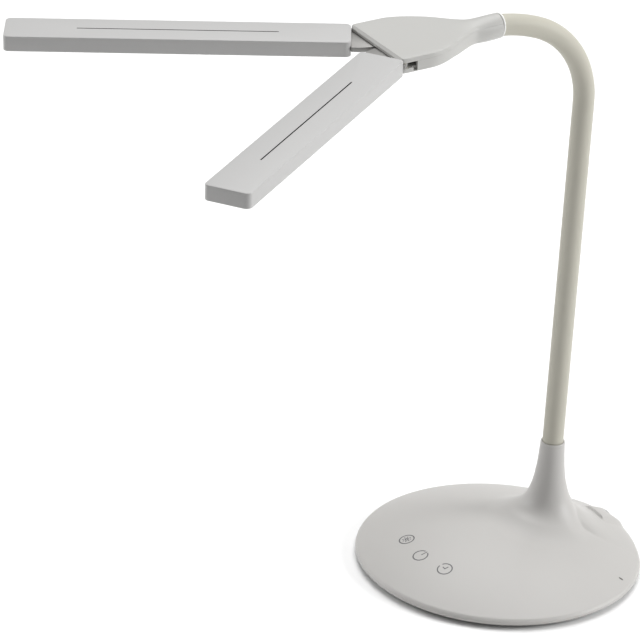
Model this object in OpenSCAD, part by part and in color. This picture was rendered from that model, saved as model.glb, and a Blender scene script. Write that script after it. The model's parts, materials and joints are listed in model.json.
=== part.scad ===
// Folding LED desk lamp: round domed base, bendable neck, two light bars that swing apart.
// Millimetres, +Z up. The origin is the centre of the base on the desk, the front is -Y.

/* [Base] */
// Diameter of the base at its rim
base_d = 184; // [172:1:200]
// Height of the rim's top edge above the desk
rim_top_z = 6; // [5.6:0.2:8]
// Height of the dome above the rim's top edge
dome_rise = 20.5; // [18:0.5:24]
// Thickness of the cover's wall
cover_wall = 2.2; // [1.6:0.1:2.6]
// Thickness of the non-slip mat under the base
mat_t = 1.5; // [1:0.1:2]
// Thickness of the flat bottom plate
plate_t = 2.5; // [2:0.1:2.8]
// Thickness of the steel ballast disc
ballast_t = 4; // [3:0.2:4.4]
// Distance of the cover screws from the centre
screw_ring_r = 66; // [62:1:68]

/* [Touch keys] */
// Share of the base's radius at which the keys lie
key_ring_share = 0.645; // [0.6:0.005:0.66]
// Angle between neighbouring keys, seen from the centre of the base
key_step = 21.5; // [19:0.5:24]
// Diameter of one sensor pad
key_pad_d = 8; // [6:0.5:10]

/* [Power inlet] */
// Width of the socket's metal shell
port_w = 9; // [8:0.1:10]
// Height of the socket's metal shell
port_h = 3.3; // [3:0.1:3.6]
// Depth of the socket's metal shell
port_depth = 7.5; // [6.5:0.1:8]

/* [Neck] */
// Distance of the neck behind the centre of the base
neck_y = 35.5; // [33:0.5:38]
// Outer diameter of the neck's sleeve
sleeve_d = 13.5; // [12.6:0.1:14]
// Diameter of the flexible core inside the sleeve
core_d = 10; // [8.6:0.1:10.4]
// Diameter of the wire channel in the core
wire_bore_d = 5; // [3:0.2:6]
// Height of the pedestal's upper lip
pedestal_top_z = 80.5; // [78:0.5:86]
// Height at which the neck starts to bend
bend_start_z = 315; // [305:1:330]
// Radius of the bend's first part
bend_r_low = 58.9; // [56:0.1:62]
// Radius of the bend's last part
bend_r_high = 100.4; // [94:0.2:108]
// Distance between the flexing points of the straight part
flex_pitch = 60; // [56:1:64]
// Gap between the ball and the cup of two neck lengths
flex_gap = 0.25; // [0.2:0.01:0.3]

/* [Head] */
// Width of the head at its front
head_w = 59.8; // [59.2:0.2:62]
// Length of the head from the neck to its front edge
head_len = 87; // [84:0.1:92]
// Downward slope of the head and the light bars
head_droop = 2.7; // [0:0.1:6]
// Wall over and under the slot for the hinge leaves
head_slot_wall = 2.95; // [2.6:0.05:3.2]
// Diameter of the round end that joins the neck
snout_d = 15.4; // [15.2:0.1:16.4]

/* [Light bars] */
// Length of a light bar's housing
bar_len = 207.5; // [180:0.5:230]
// Width of a light bar
bar_w = 29; // [28:0.1:29.2]
// Thickness of a light bar
bar_t = 9.5; // [9.1:0.1:10.5]
// Thickness of the housing's walls
bar_wall = 1.6; // [1.2:0.1:1.8]
// Thickness of the light diffuser
diffuser_t = 1.5; // [1.2:0.1:1.8]
// Share of the bar's length that the groove on top takes
groove_share = 0.583; // [0.4:0.01:0.7]
// Width of the groove on top
groove_w = 0.9; // [0.6:0.1:1.4]
// Number of LEDs in one bar
led_count = 24; // [12:1:30]
// Angle between the left bar and the head's centre line
left_open = 30.5; // [0:0.5:90]
// Angle between the right bar and the head's centre line
right_open = 34.5; // [0:0.5:90]

/* [Hinges] */
// Diameter of a hinge pin
pin_d = 3; // [2.6:0.1:3.2]
// Radial clearance of a hinge pin in its leaf
pin_clear = 0.06; // [0.03:0.01:0.1]
// Radius of the head's corner round a hinge pin
corner_r = 3.3; // [3:0.05:3.6]
// Gap between a bar's end and the head's corner
corner_gap = 0.3; // [0.25:0.05:0.4]
// Thickness of a hinge leaf
leaf_t = 3; // [2.6:0.1:3.1]
// Thickness of a friction washer
washer_t = 0.26; // [0.2:0.01:0.3]
// Length of the leaf that runs in the head
leaf_back = 14.5; // [13:0.1:15.5]

/* [Hidden] */
$fn = 64;

// Base, from the desk upwards
base_r = base_d / 2;
dome_r = (base_r * base_r + dome_rise * dome_rise) / (2 * dome_rise);
dome_top_z = rim_top_z + dome_rise;
rim_low_z = mat_t + 1.1;
rim_chamfer = 1.4;
plate_top_z = mat_t + plate_t;
plate_r = base_r - cover_wall - 0.7;
mat_r = base_r - 8;
ballast_top_z = plate_top_z + ballast_t;
ballast_r = base_r - 13;
board_t = 1.6;
board_z = ballast_top_z + 1.4;
pillar_r = 2;
hole_slack = 0.6;

// Screws of the base
base_screw_r = 1.5;
base_boss_r = 3.6;
base_screw_head_r = 2.8;
base_screw_len = 6;
thread_slack = 0.05;

// Touch board
key_r = base_r * key_ring_share;
touch_board_x = 2 * key_r * sin(key_step) + key_pad_d + 5;
touch_board_y = key_r * (1 - cos(key_step)) + key_pad_d + 4;
touch_board_mid = key_r * (1 + cos(key_step)) / 2;
touch_pillars = [for (x = [-1, 1], y = [-1, 1])
    [x * (touch_board_x / 2 - 3), -touch_board_mid + y * (touch_board_y / 2 - 3)]];

// Raised rear of the base with the power inlet
tail_front = [6, neck_y + 15.5, rim_top_z + 16];
tail_front_r = 13;
tail_rear = [19, base_r - 17.5, rim_top_z + 1];
tail_rear_r = 14.5;
tail_end_y = tail_rear[1] + tail_rear_r;
power_board_x = 26;
power_board_y = 27;
port_face_y = tail_end_y - 4.5;
port_lip = 2.2;
power_board_end_y = port_face_y - 1;
port_z = board_z + board_t + port_h / 2;
power_pillars = [for (x = [-1, 1], y = [0, 1])
    [x * (power_board_x / 2 - 3), power_board_end_y - 9 - y * (power_board_y - 13)]];

// Pedestal
sleeve_r = sleeve_d / 2;
core_r = core_d / 2;
seat_slack = 0.1;
core_slack = 0.08;
ball_r = sleeve_r - 0.03;
sleeve_foot_z = pedestal_top_z - 22;
pedestal_lip_r = sleeve_r + 1;
flare_r0 = sleeve_r + 0.55;
flare_gain = 5.4;
flare_z0 = rim_top_z + 41.6;
flare_k = 17;
flare_low_z = rim_top_z + 6;
flare_steps = 26;
flare_wall = cover_wall + 0.6;
flare_hollow_r = 29;
rib_t = 1.8;
socket_r = core_r + 4.6;
socket_z = rim_top_z + 13;
neck_washer_t = 1.2;
neck_nut_t = 5;
neck_nut_r = core_r + 3.6;
core_foot_z = socket_z - neck_washer_t - neck_nut_t - 1.5;

// Flexing points of the neck: four on the straight part, two on the bend
bend_end = 87;
flex_angles = [0, 0, 0, 0, 35, 70];
flex_first_z = bend_start_z - 3 * flex_pitch;

// A point [y, z] of the neck's middle line after a turn between two angles from upright
function turn(p, a0, a1, r) = [p[0] - r * (cos(a0) - cos(a1)), p[1] + r * (sin(a1) - sin(a0))];

bend_foot = [neck_y, bend_start_z];
flex_mid = turn(bend_foot, 0, flex_angles[4], bend_r_low);
flex_high = turn(flex_mid, flex_angles[4], flex_angles[5], bend_r_low);
ring_point = turn(flex_high, flex_angles[5], bend_end, bend_r_high);
function flex_point(i) = i < 4 ? [neck_y, flex_first_z + i * flex_pitch] : (i == 4 ? flex_mid : flex_high);

snout_depth = 9;
bend_tip = bend_end + snout_depth / bend_r_high * 180 / PI;

// Head, in its own frame: origin at the neck's end, forward is -Y, the slot's middle is slot_z
plate_top = sleeve_r - 0.15;
plate_low = plate_top - bar_t;
slot_z = (plate_top + plate_low) / 2;
slot_h = bar_t - 2 * head_slot_wall;
lid_z = slot_z + slot_h / 2;
snout_r = snout_d / 2;
head_r = head_w / 2;
front_y = -head_len;
ferrule_t = 1.3;
head_chamfer = 0.8;
head_front_chamfer = 1.4;
head_bevel_y = -50;
outline_start = 13;
outline_steps = 18;
snout_shape = [[0, 0], [9, 0.5], [18, 0.45], [27, -0.1], [36, -1.1], [45, -2.5], [54, -4.1], [62, -5.6]];
slot_back = leaf_back + 1;
side_slot = 11.5;
cavity_side = 3.2;
cavity_front_y = front_y + slot_back;
cavity_back_y = -24;
cavity_wall = 2.1;
head_screw_places = [[0, -33], [-14, -60], [14, -60]];
head_screw_r = 1.1;
head_screw_head_r = 2.1;
head_screw_len = bar_t - 1.3;
head_boss_r = 2.7;

// Hinge pins, seen from the head's frame
pivot_x = head_r - corner_r;
pivot_y = front_y + corner_r;
pin_r = pin_d / 2;
pin_head_r = 2.5;
pin_head_t = 1;
pin_top = plate_top - 1;
pin_fit = 0.02;

// Light bars, seen from their hinge pins
bar_end_y = -(corner_r + corner_gap);
bar_half = bar_w / 2;
bar_middle = pivot_x - bar_half - 0.6;
bar_corner_r = 3.5;
bar_edge_r = 0.8;
bar_end_wall = 2;
bar_top_wall = 1.8;
diffuser_gap = 0.1;
leaf_reach = bar_middle + bar_half - 0.3;
leaf_low = slot_z - leaf_t / 2;
leaf_top = slot_z + leaf_t / 2;
leaf_root = 17;
leaf_inset = 0.4;
leaf_boss_r = 2.6;
leaf_screw_x = 8;
leaf_screw_y = bar_end_y - 12;
leaf_screw_r = 1.1;
led_board_t = 1.2;
led_board_start = bar_end_y - leaf_root - 3;
led_board_end = bar_end_y - bar_len + bar_end_wall + 1;
led_board_w = bar_w - 2 * bar_wall - 1;
led_size = [3.5, 2.8, 0.8];
washer_r = 3;

// Smooth step from 0 to 1 while t runs from 0 to 1
function smooth(t) = let (u = max(0, min(1, t))) u * u * (3 - 2 * u);

// Half the width of the head at a distance f in front of the neck's end
function head_half_width(f) = snout_r - 1.2 + (head_r - snout_r + 1.2) * smooth((f - 10) / (head_len - 31));

// Places

module at_neck(i) {
    p = flex_point(i);
    translate([0, p[0], p[1]]) children();
}

module at_head() {
    translate([0, ring_point[0], ring_point[1]]) rotate([head_droop, 0, 0]) children();
}

module at_bar(side) {
    open = side < 0 ? left_open : right_open;
    at_head()
        translate([side * pivot_x, pivot_y, 0])
            rotate([0, 0, side * open])
                children();
}

// Base

module base_round(r, wall) {
    intersection() {
        translate([0, 0, dome_top_z - dome_r]) sphere(r = dome_r - wall, $fn = 180);
        children();
    }
}

module tail(shrink) {
    hull() {
        for (s = [-1, 1]) {
            translate([s * tail_front[0], tail_front[1], tail_front[2]])
                sphere(r = tail_front_r - shrink, $fn = 32);
            translate([s * tail_rear[0], tail_rear[1], tail_rear[2]])
                sphere(r = tail_rear_r - shrink, $fn = 32);
        }
    }
}

function flare_r(z) = flare_r0 + flare_gain * exp((flare_z0 - z) / flare_k);
function flare_z(r) = flare_z0 - flare_k * ln((r - flare_r0) / flare_gain);

module flare() {
    step = (pedestal_top_z - flare_low_z) / flare_steps;
    side = [for (i = [0:flare_steps]) let (z = flare_low_z + i * step) [flare_r(z), z]];
    translate([0, neck_y, 0]) {
        rotate_extrude($fn = 96)
            polygon(concat([[0, flare_low_z - 4], [side[0][0], flare_low_z - 4]], side,
                [[0, pedestal_top_z]]));
        translate([0, 0, pedestal_top_z - 1.4])
            cylinder(h = 1.4, r = pedestal_lip_r);
    }
}

// Hollow of the pedestal, round the tube that holds the neck
module flare_hollow() {
    low = flare_z(flare_hollow_r + flare_wall);
    top = flare_z(socket_r + 1 + flare_wall);
    step = (top - low) / 12;
    side = [for (i = [0:12]) let (z = low + i * step) [flare_r(z) - flare_wall, z]];
    translate([0, neck_y, 0])
        rotate_extrude($fn = 96)
            polygon(concat([[0, flare_low_z], [side[0][0], flare_low_z]], side, [[0, top]]));
}

module rounded_slot(w, h, depth) {
    rotate([-90, 0, 0]) {
        translate([-(w - h) / 2, -h / 2, 0]) cube([w - h, h, depth]);
        for (s = [-1, 1]) translate([s * (w - h) / 2, 0, 0]) cylinder(h = depth, r = h / 2);
    }
}

module at_base_screws() {
    for (a = [45, 135, 225, 315])
        rotate([0, 0, a]) translate([screw_ring_r, 0, 0]) children();
}

module cover_body() {
    base_round(base_r, 0)
        union() {
            translate([0, 0, rim_low_z]) cylinder(h = rim_chamfer, r1 = base_r - rim_chamfer, r2 = base_r);
            translate([0, 0, rim_low_z + rim_chamfer]) cylinder(h = 40, r = base_r);
        }
    intersection() {
        union() {
            flare();
            tail(0);
        }
        translate([0, 0, rim_low_z + 1]) cylinder(h = 120, r = base_r - 1);
    }
}

module cover_hollow() {
    base_round(base_r, cover_wall)
        translate([0, 0, -1]) cylinder(h = 60, r = base_r - cover_wall);
    tail(cover_wall);
    flare_hollow();
}

// Tube and ribs that stay in the hollow and carry the neck
module neck_socket() {
    translate([0, neck_y, socket_z]) {
        cylinder(h = 60, r = socket_r);
        for (a = [45, 135])
            rotate([0, 0, a])
                translate([-socket_r - 12, -rib_t / 2, 0]) cube([2 * socket_r + 24, rib_t, 30]);
    }
}

module base_cover() {
    color("gainsboro")
    difference() {
        union() {
            difference() {
                cover_body();
                difference() {
                    cover_hollow();
                    neck_socket();
                }
            }
            intersection() {
                at_base_screws()
                    translate([0, 0, plate_top_z]) cylinder(h = 30, r = base_boss_r);
                cover_body();
            }
        }
        translate([0, neck_y, 0]) {
            cylinder(h = sleeve_foot_z + 1, r = core_r + core_slack);
            translate([0, 0, sleeve_foot_z]) cylinder(h = 60, r = sleeve_r + seat_slack);
        }
        at_base_screws()
            translate([0, 0, plate_top_z - 1]) cylinder(h = base_screw_len + 1, r = base_screw_r + thread_slack);
        translate([0, port_face_y - cover_wall - 1, port_z])
            rounded_slot(port_w + 0.3, port_h + 0.3, 8);
        translate([0, port_face_y, port_z])
            rounded_slot(port_w + 2 * port_lip, port_h + 2 * port_lip, 20);
        translate([-power_board_x / 2 - 0.5, 0, board_z - 2])
            cube([power_board_x + 1, power_board_end_y + 0.4, 4.5]);
    }
}

module base_plate() {
    color("silver")
    difference() {
        union() {
            translate([0, 0, mat_t]) cylinder(h = plate_t, r = plate_r);
            for (p = concat(touch_pillars, power_pillars))
                translate([p[0], p[1], plate_top_z - 0.5])
                    cylinder(h = board_z - plate_top_z + 0.5, r = pillar_r);
        }
        at_base_screws() {
            translate([0, 0, mat_t - 1]) cylinder(h = plate_t + 2, r = base_screw_r + 0.2);
            translate([0, 0, mat_t - 1]) cylinder(h = 2.4, r = base_screw_head_r + 0.2);
        }
    }
}

module base_mat() {
    color("dimgray") cylinder(h = mat_t, r = mat_r);
}

module ballast_disc() {
    color("slategray")
    translate([0, 0, plate_top_z])
    difference() {
        cylinder(h = ballast_t, r = ballast_r);
        at_base_screws()
            translate([0, 0, -1]) cylinder(h = ballast_t + 2, r = base_boss_r + hole_slack);
        for (p = concat(touch_pillars, power_pillars))
            translate([p[0], p[1], -1]) cylinder(h = ballast_t + 2, r = pillar_r + hole_slack);
    }
}

module base_screws() {
    color("darkgray")
    at_base_screws() {
        translate([0, 0, mat_t + 0.1]) cylinder(h = 1.3, r = base_screw_head_r);
        translate([0, 0, mat_t + 0.1]) cylinder(h = base_screw_len, r = base_screw_r);
    }
}

module touch_board() {
    color("seagreen")
    translate([-touch_board_x / 2, -touch_board_mid - touch_board_y / 2, board_z])
        cube([touch_board_x, touch_board_y, board_t]);
}

module touch_pads() {
    pad_low = board_z + board_t;
    pad_far = key_r + key_pad_d / 2;
    roof = dome_top_z - dome_r + sqrt(pow(dome_r - cover_wall, 2) - pad_far * pad_far);
    color("darkkhaki")
    for (i = [-1:1])
        rotate([0, 0, i * key_step])
            translate([0, -key_r, pad_low])
                cylinder(h = roof - 0.25 - pad_low, r = key_pad_d / 2);
}

module power_board() {
    color("seagreen")
    translate([-power_board_x / 2, power_board_end_y - power_board_y, board_z])
        cube([power_board_x, power_board_y, board_t]);
}

module power_port() {
    color("lightgray")
    translate([0, port_face_y - port_depth, port_z])
    difference() {
        rounded_slot(port_w, port_h, port_depth);
        translate([0, 1, 0]) difference() {
            rounded_slot(port_w - 0.7, port_h - 0.7, port_depth);
            translate([-port_w / 3, -1, -0.35]) cube([2 * port_w / 3, port_depth - 1.2, 0.7]);
        }
    }
}

module neck_washer() {
    color("lightsteelblue")
    translate([0, neck_y, socket_z - neck_washer_t])
    difference() {
        cylinder(h = neck_washer_t, r = socket_r - 0.4);
        translate([0, 0, -1]) cylinder(h = neck_washer_t + 2, r = core_r + core_slack);
    }
}

module neck_nut() {
    color("lightsteelblue")
    translate([0, neck_y, socket_z - neck_washer_t - neck_nut_t])
    difference() {
        cylinder(h = neck_nut_t, r = neck_nut_r, $fn = 6);
        translate([0, 0, -1]) cylinder(h = neck_nut_t + 2, r = core_r + core_slack);
    }
}

// Neck: each length has a ball at its upper end and a cup at its lower end

// Straight length of the neck from a point, at an angle from upright
module straight_tube(p, a, l, r) {
    translate([0, p[0], p[1]]) rotate([a, 0, 0]) cylinder(h = l, r = r);
}

// Bent length of the neck from a point, turning between two angles
module bent_tube(p, a0, a1, radius, r) {
    translate([0, p[0] - radius * cos(a0), p[1] - radius * sin(a0)])
        rotate([0, 90, 0]) rotate([0, 0, 90 + a0])
            rotate_extrude(angle = a1 - a0, $fn = 120)
                translate([radius, 0]) circle(r = r);
}

// Short plug that makes one solid of two lengths that meet face to face
module joint_plug(p, a, r) {
    translate([0, p[0], p[1]]) rotate([a, 0, 0])
        translate([0, 0, -0.3]) cylinder(h = 0.6, r = r - 0.4);
}

// The neck's solid from flexing point i - 1 up to flexing point i
module neck_run(i, r) {
    foot = r == sleeve_r ? sleeve_foot_z : core_foot_z;
    if (i == 0) straight_tube([neck_y, foot], 0, flex_first_z - foot, r);
    if (i > 0 && i < 4) straight_tube(flex_point(i - 1), 0, flex_pitch, r);
    if (i == 4) bent_tube(bend_foot, 0, flex_angles[4], bend_r_low, r);
    if (i == 5) bent_tube(flex_mid, flex_angles[4], flex_angles[5], bend_r_low, r);
    if (i == 6) bent_tube(flex_high, flex_angles[5], bend_tip, bend_r_high, r);
}

// Short stub at the top of a run, which ends inside the ball
module neck_tip(i, r) {
    if (i < 6)
        straight_tube(flex_point(i), flex_angles[i], sleeve_r + 2, r);
}

module neck_ball(i, r) {
    if (i < 6) at_neck(i) sphere(r = r);
}

module neck_cup(i) {
    if (i > 0) at_neck(i - 1) sphere(r = sleeve_r + flex_gap);
}

module neck_sleeve(i) {
    color("antiquewhite")
    difference() {
        union() {
            neck_run(i, sleeve_r);
            neck_ball(i, ball_r);
        }
        neck_run(i, core_r + core_slack);
        neck_tip(i, core_r + core_slack);
        neck_cup(i);
    }
}

module neck_core(i) {
    color("silver")
    difference() {
        union() {
            neck_run(i, core_r);
            if (i < 6) joint_plug(flex_point(i), flex_angles[i], core_r);
            intersection() {
                neck_tip(i, core_r);
                neck_ball(i, ball_r);
            }
        }
        neck_run(i, wire_bore_d / 2);
        neck_tip(i, wire_bore_d / 2);
        neck_cup(i);
    }
}

module neck_ferrule() {
    color("white")
    translate([0, ring_point[0], ring_point[1]])
        rotate([bend_end, 0, 0])
            translate([0, 0, -ferrule_t / 2])
                difference() {
                    cylinder(h = ferrule_t, r = snout_r + 0.1);
                    translate([0, 0, -1]) cylinder(h = ferrule_t + 2, r = sleeve_r + seat_slack);
                }
}

// Head

module head_outline() {
    edge = [for (i = [0:outline_steps])
        let (f = outline_start + (head_len - outline_start) * i / outline_steps)
        [head_half_width(f), -f]];
    polygon(concat(edge, [for (i = [outline_steps:-1:0]) [-edge[i][0], edge[i][1]]]));
}

// A thin layer of the plate whose edges lean in by the chamfer
module chamfer_layer(z, up) {
    factor = 1 - head_chamfer / head_r;
    translate([0, head_bevel_y, z]) mirror([0, 0, up ? 0 : 1])
        linear_extrude(height = head_chamfer, scale = factor, slices = 1)
            translate([0, -head_bevel_y]) head_outline();
}

module snout() {
    start = ferrule_t / 2 - snout_r * sin(90 - bend_end + head_droop) - 0.1;
    last = len(snout_shape) - 1;
    rotate([90, 0, 0])
        rotate_extrude($fn = 96)
            polygon(concat([[0, start]],
                [for (p = snout_shape) [snout_r + p[1], p[0] == 0 ? start : p[0]]],
                [[0, snout_shape[last][0]]]));
}

module head_solid() {
    difference() {
        union() {
            translate([0, 0, plate_low + head_chamfer])
                linear_extrude(height = bar_t - 2 * head_chamfer) head_outline();
            chamfer_layer(plate_top - head_chamfer, true);
            chamfer_layer(plate_low + head_chamfer, false);
            snout();
        }
        for (s = [-1, 1]) corner_cut(s);
        translate([0, front_y, plate_top])
            rotate([45, 0, 0])
                cube([head_w + 10, head_front_chamfer * sqrt(2), head_front_chamfer * sqrt(2)], center = true);
    }
}

// What is cut from a front corner to leave it round about its hinge pin
module corner_cut(s) {
    translate([s * pivot_x, pivot_y, plate_low - 5])
        difference() {
            translate([s > 0 ? 0 : -corner_r - 5, -corner_r - 5, 0])
                cube([corner_r + 5, corner_r + 5, bar_t + 10]);
            translate([0, 0, -1]) cylinder(h = bar_t + 12, r = corner_r);
        }
}

module leaf_slot() {
    translate([-head_w, front_y - 5, slot_z - slot_h / 2])
        cube([2 * head_w, 5 + side_slot, slot_h]);
    translate([-pivot_x - corner_r + cavity_wall, front_y - 5, slot_z - slot_h / 2])
        cube([2 * (pivot_x + corner_r - cavity_wall), 5 + slot_back, slot_h]);
}

module head_cavity() {
    n = 12;
    run = cavity_back_y - cavity_front_y;
    edge = [for (i = [0:n])
        let (y = cavity_front_y + run * i / n)
        [head_half_width(-y) - cavity_side, y]];
    difference() {
        translate([0, 0, slot_z - slot_h / 2 - 0.7])
            linear_extrude(height = slot_h + 1.4)
                polygon(concat(edge, [for (i = [n:-1:0]) [-edge[i][0], edge[i][1]]]));
        for (p = head_screw_places)
            translate([p[0], p[1], plate_low]) cylinder(h = bar_t, r = head_boss_r);
    }
}

// The bore that the end of the neck sits in, where the neck is
module neck_seat() {
    bent_tube(flex_high, flex_angles[5], bend_tip + 0.2, bend_r_high, sleeve_r + seat_slack);
}

// The ferrule's place and what lies behind it, which the shells keep clear of
module ferrule_seat() {
    translate([0, ring_point[0], ring_point[1]])
        rotate([bend_end, 0, 0])
            translate([0, 0, -8]) cylinder(h = 8 + ferrule_t / 2 + 0.02, r = snout_r + 4);
}

module half_space(top) {
    translate([-50, -120, top ? lid_z : lid_z - 30]) cube([100, 130, 30]);
}

module head_shell(top) {
    difference() {
        intersection() {
            head_solid();
            half_space(top);
        }
        leaf_slot();
        head_cavity();
        rotate([90, 0, 0]) cylinder(h = 30, r = wire_bore_d / 2);
        for (s = [-1, 1])
            translate([s * pivot_x, pivot_y, 0]) {
                translate([0, 0, plate_low + pin_head_t]) cylinder(h = pin_top - plate_low - pin_head_t, r = pin_r + pin_fit);
                translate([0, 0, plate_low - 3]) cylinder(h = pin_head_t + 3, r = pin_head_r + 0.1);
            }
        for (p = head_screw_places)
            translate([p[0], p[1], 0]) {
                translate([0, 0, plate_low - 6]) cylinder(h = 6 + 1.4, r = head_screw_head_r + 0.1);
                translate([0, 0, plate_low - 3]) cylinder(h = 3 + head_screw_len + 0.4, r = head_screw_r + thread_slack);
            }
    }
}

module head_top() {
    color("gainsboro")
    difference() {
        at_head() head_shell(true);
        neck_seat();
        ferrule_seat();
    }
}

module head_bottom() {
    color("gainsboro")
    difference() {
        at_head() head_shell(false);
        neck_seat();
        ferrule_seat();
    }
}

module head_screws() {
    color("darkgray")
    at_head()
        for (p = head_screw_places)
            translate([p[0], p[1], plate_low]) {
                translate([0, 0, 0.2]) cylinder(h = 1.2, r = head_screw_head_r);
                translate([0, 0, 0.2]) cylinder(h = head_screw_len, r = head_screw_r);
            }
}

module hinge_pin(side) {
    color("silver")
    at_head()
        translate([side * pivot_x, pivot_y, plate_low]) {
            cylinder(h = pin_head_t, r = pin_head_r);
            cylinder(h = pin_top - plate_low, r = pin_r);
        }
}

module pivot_washers() {
    color("goldenrod")
    at_head()
        for (s = [-1, 1], z = [slot_z - slot_h / 2, slot_z + slot_h / 2 - washer_t])
            translate([s * pivot_x, pivot_y, z])
                difference() {
                    cylinder(h = washer_t, r = washer_r);
                    translate([0, 0, -1]) cylinder(h = washer_t + 2, r = pin_r + pin_fit);
                }
}

// Light bars: drawn for the right side, mirrored for the left

module for_side(side) {
    at_bar(side) mirror([side < 0 ? 1 : 0, 0, 0]) children();
}

module round_rect(w, l, r) {
    translate([-w / 2 + r, -l]) square([w - 2 * r, l]);
    translate([-w / 2, -l + r]) square([w, l - 2 * r]);
    for (x = [-w / 2 + r, w / 2 - r], y = [-l + r, -r])
        translate([x, y]) circle(r = r);
}

// Cross-section of a bar with rounded upper edges, drawn in X and Z
module bar_section() {
    translate([-bar_half, plate_low]) square([bar_w, bar_t - bar_edge_r]);
    translate([-bar_half + bar_edge_r, plate_low]) square([bar_w - 2 * bar_edge_r, bar_t]);
    for (s = [-1, 1])
        translate([s * (bar_half - bar_edge_r), plate_top - bar_edge_r]) circle(r = bar_edge_r);
}

module bar_solid() {
    intersection() {
        translate([0, 0, plate_low - 1]) linear_extrude(height = bar_t + 2)
            round_rect(bar_w, bar_len, bar_corner_r);
        translate([0, 1, 0]) rotate([90, 0, 0]) linear_extrude(height = bar_len + 2) bar_section();
    }
}

module housing(side) {
    inner_w = bar_w - 2 * bar_wall;
    inner_len = bar_len - 2 * bar_end_wall;
    color("gainsboro")
    for_side(side)
        translate([-bar_middle, bar_end_y, 0])
            difference() {
                bar_solid();
                difference() {
                    translate([0, -bar_end_wall, plate_low - 1])
                        linear_extrude(height = bar_t + 1 - bar_top_wall)
                            round_rect(inner_w, inner_len, bar_corner_r - bar_wall);
                    for (x = [-1, 1])
                        translate([x * leaf_screw_x, leaf_screw_y - bar_end_y, leaf_top])
                            cylinder(h = bar_t, r = leaf_boss_r);
                }
                translate([-inner_w / 2, -bar_end_wall - 1, leaf_low - 0.15])
                    cube([inner_w, bar_end_wall + 3, leaf_t + 0.3]);
                for (x = [-1, 1])
                    translate([x * leaf_screw_x, leaf_screw_y - bar_end_y, leaf_top - 1])
                        cylinder(h = 1 + 2.2, r = leaf_screw_r + thread_slack);
                translate([-groove_w / 2, -bar_len * (1 + groove_share) / 2, plate_top - 1])
                    cube([groove_w, bar_len * groove_share, 2]);
            }
}

module diffuser(side) {
    w = bar_w - 2 * (bar_wall + diffuser_gap);
    l = bar_len - 2 * (bar_end_wall + diffuser_gap);
    color("white")
    for_side(side)
        translate([-bar_middle, bar_end_y - bar_end_wall - diffuser_gap, plate_low])
            linear_extrude(height = diffuser_t)
                round_rect(w, l, bar_corner_r - bar_wall - diffuser_gap);
}

module led_board(side) {
    color("white")
    for_side(side)
        translate([-bar_middle - led_board_w / 2, led_board_end, plate_top - bar_top_wall - led_board_t])
            cube([led_board_w, led_board_start - led_board_end, led_board_t]);
}

module leds(side) {
    pitch = (led_board_start - led_board_end) / led_count;
    z = plate_top - bar_top_wall - led_board_t - led_size[2];
    color("khaki")
    for_side(side)
        for (i = [0:led_count - 1])
            translate([-bar_middle - led_size[0] / 2, led_board_end + (i + 0.5) * pitch - led_size[1] / 2, z])
                cube(led_size);
}

module hinge_leaf(side) {
    root_w = bar_w - 2 * bar_wall - 2 * leaf_inset;
    color("gray")
    for_side(side)
        translate([0, 0, leaf_low])
            difference() {
                linear_extrude(height = leaf_t) {
                    intersection() {
                        circle(r = leaf_reach, $fn = 180);
                        polygon([[washer_r, bar_end_y - 0.01], [washer_r, 0],
                            [-washer_r, leaf_back + bar_end_y], [-leaf_reach, leaf_back + bar_end_y],
                            [-leaf_reach, bar_end_y - 0.01]]);
                    }
                    circle(r = washer_r);
                    translate([-bar_middle - root_w / 2, bar_end_y - leaf_root])
                        square([root_w, leaf_root]);
                }
                translate([0, 0, -1]) cylinder(h = leaf_t + 2, r = pin_r + pin_clear);
                for (x = [-1, 1])
                    translate([-bar_middle + x * leaf_screw_x, leaf_screw_y, -1])
                        cylinder(h = leaf_t + 2, r = leaf_screw_r + 0.15);
            }
}

module leaf_screws(side) {
    color("darkgray")
    for_side(side)
        for (x = [-1, 1])
            translate([-bar_middle + x * leaf_screw_x, leaf_screw_y, leaf_low]) {
                translate([0, 0, -1.1]) cylinder(h = 1.1, r = 2);
                translate([0, 0, -0.5]) cylinder(h = leaf_t + 2.5, r = leaf_screw_r);
            }
}

base_cover();
base_plate();
base_mat();
ballast_disc();
base_screws();
touch_board();
touch_pads();
power_board();
power_port();
neck_nut();
neck_washer();
neck_core(0);  // neck_core_0
neck_core(1);  // neck_core_1
neck_core(2);  // neck_core_2
neck_core(3);  // neck_core_3
neck_core(4);  // neck_core_4
neck_core(5);  // neck_core_5
neck_core(6);  // neck_core_6
neck_sleeve(0);  // neck_sleeve_0
neck_sleeve(1);  // neck_sleeve_1
neck_sleeve(2);  // neck_sleeve_2
neck_sleeve(3);  // neck_sleeve_3
neck_sleeve(4);  // neck_sleeve_4
neck_sleeve(5);  // neck_sleeve_5
neck_sleeve(6);  // neck_sleeve_6
neck_ferrule();
head_top();
head_bottom();
head_screws();
hinge_pin(-1);  // pin_left
hinge_pin(1);  // pin_right
pivot_washers();
housing(-1);  // housing_left
diffuser(-1);  // diffuser_left
led_board(-1);  // led_board_left
leds(-1);  // leds_left
hinge_leaf(-1);  // hinge_leaf_left
leaf_screws(-1);  // leaf_screws_left
housing(1);  // housing_right
diffuser(1);  // diffuser_right
led_board(1);  // led_board_right
leds(1);  // leds_right
hinge_leaf(1);  // hinge_leaf_right
leaf_screws(1);  // leaf_screws_right
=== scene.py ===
"""Folding LED desk lamp: the finish and the fine shapes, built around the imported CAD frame.

Lengths are metres. The origin is the centre of the base on the desk, the bars reach out
towards -Y and +Z is up, as in the frame.
"""

import json
import logging
import math
from collections.abc import Callable, Sequence
from dataclasses import dataclass, field
from enum import Enum
from typing import Any

import bmesh
import bpy
from mathutils import Matrix, Vector


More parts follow.
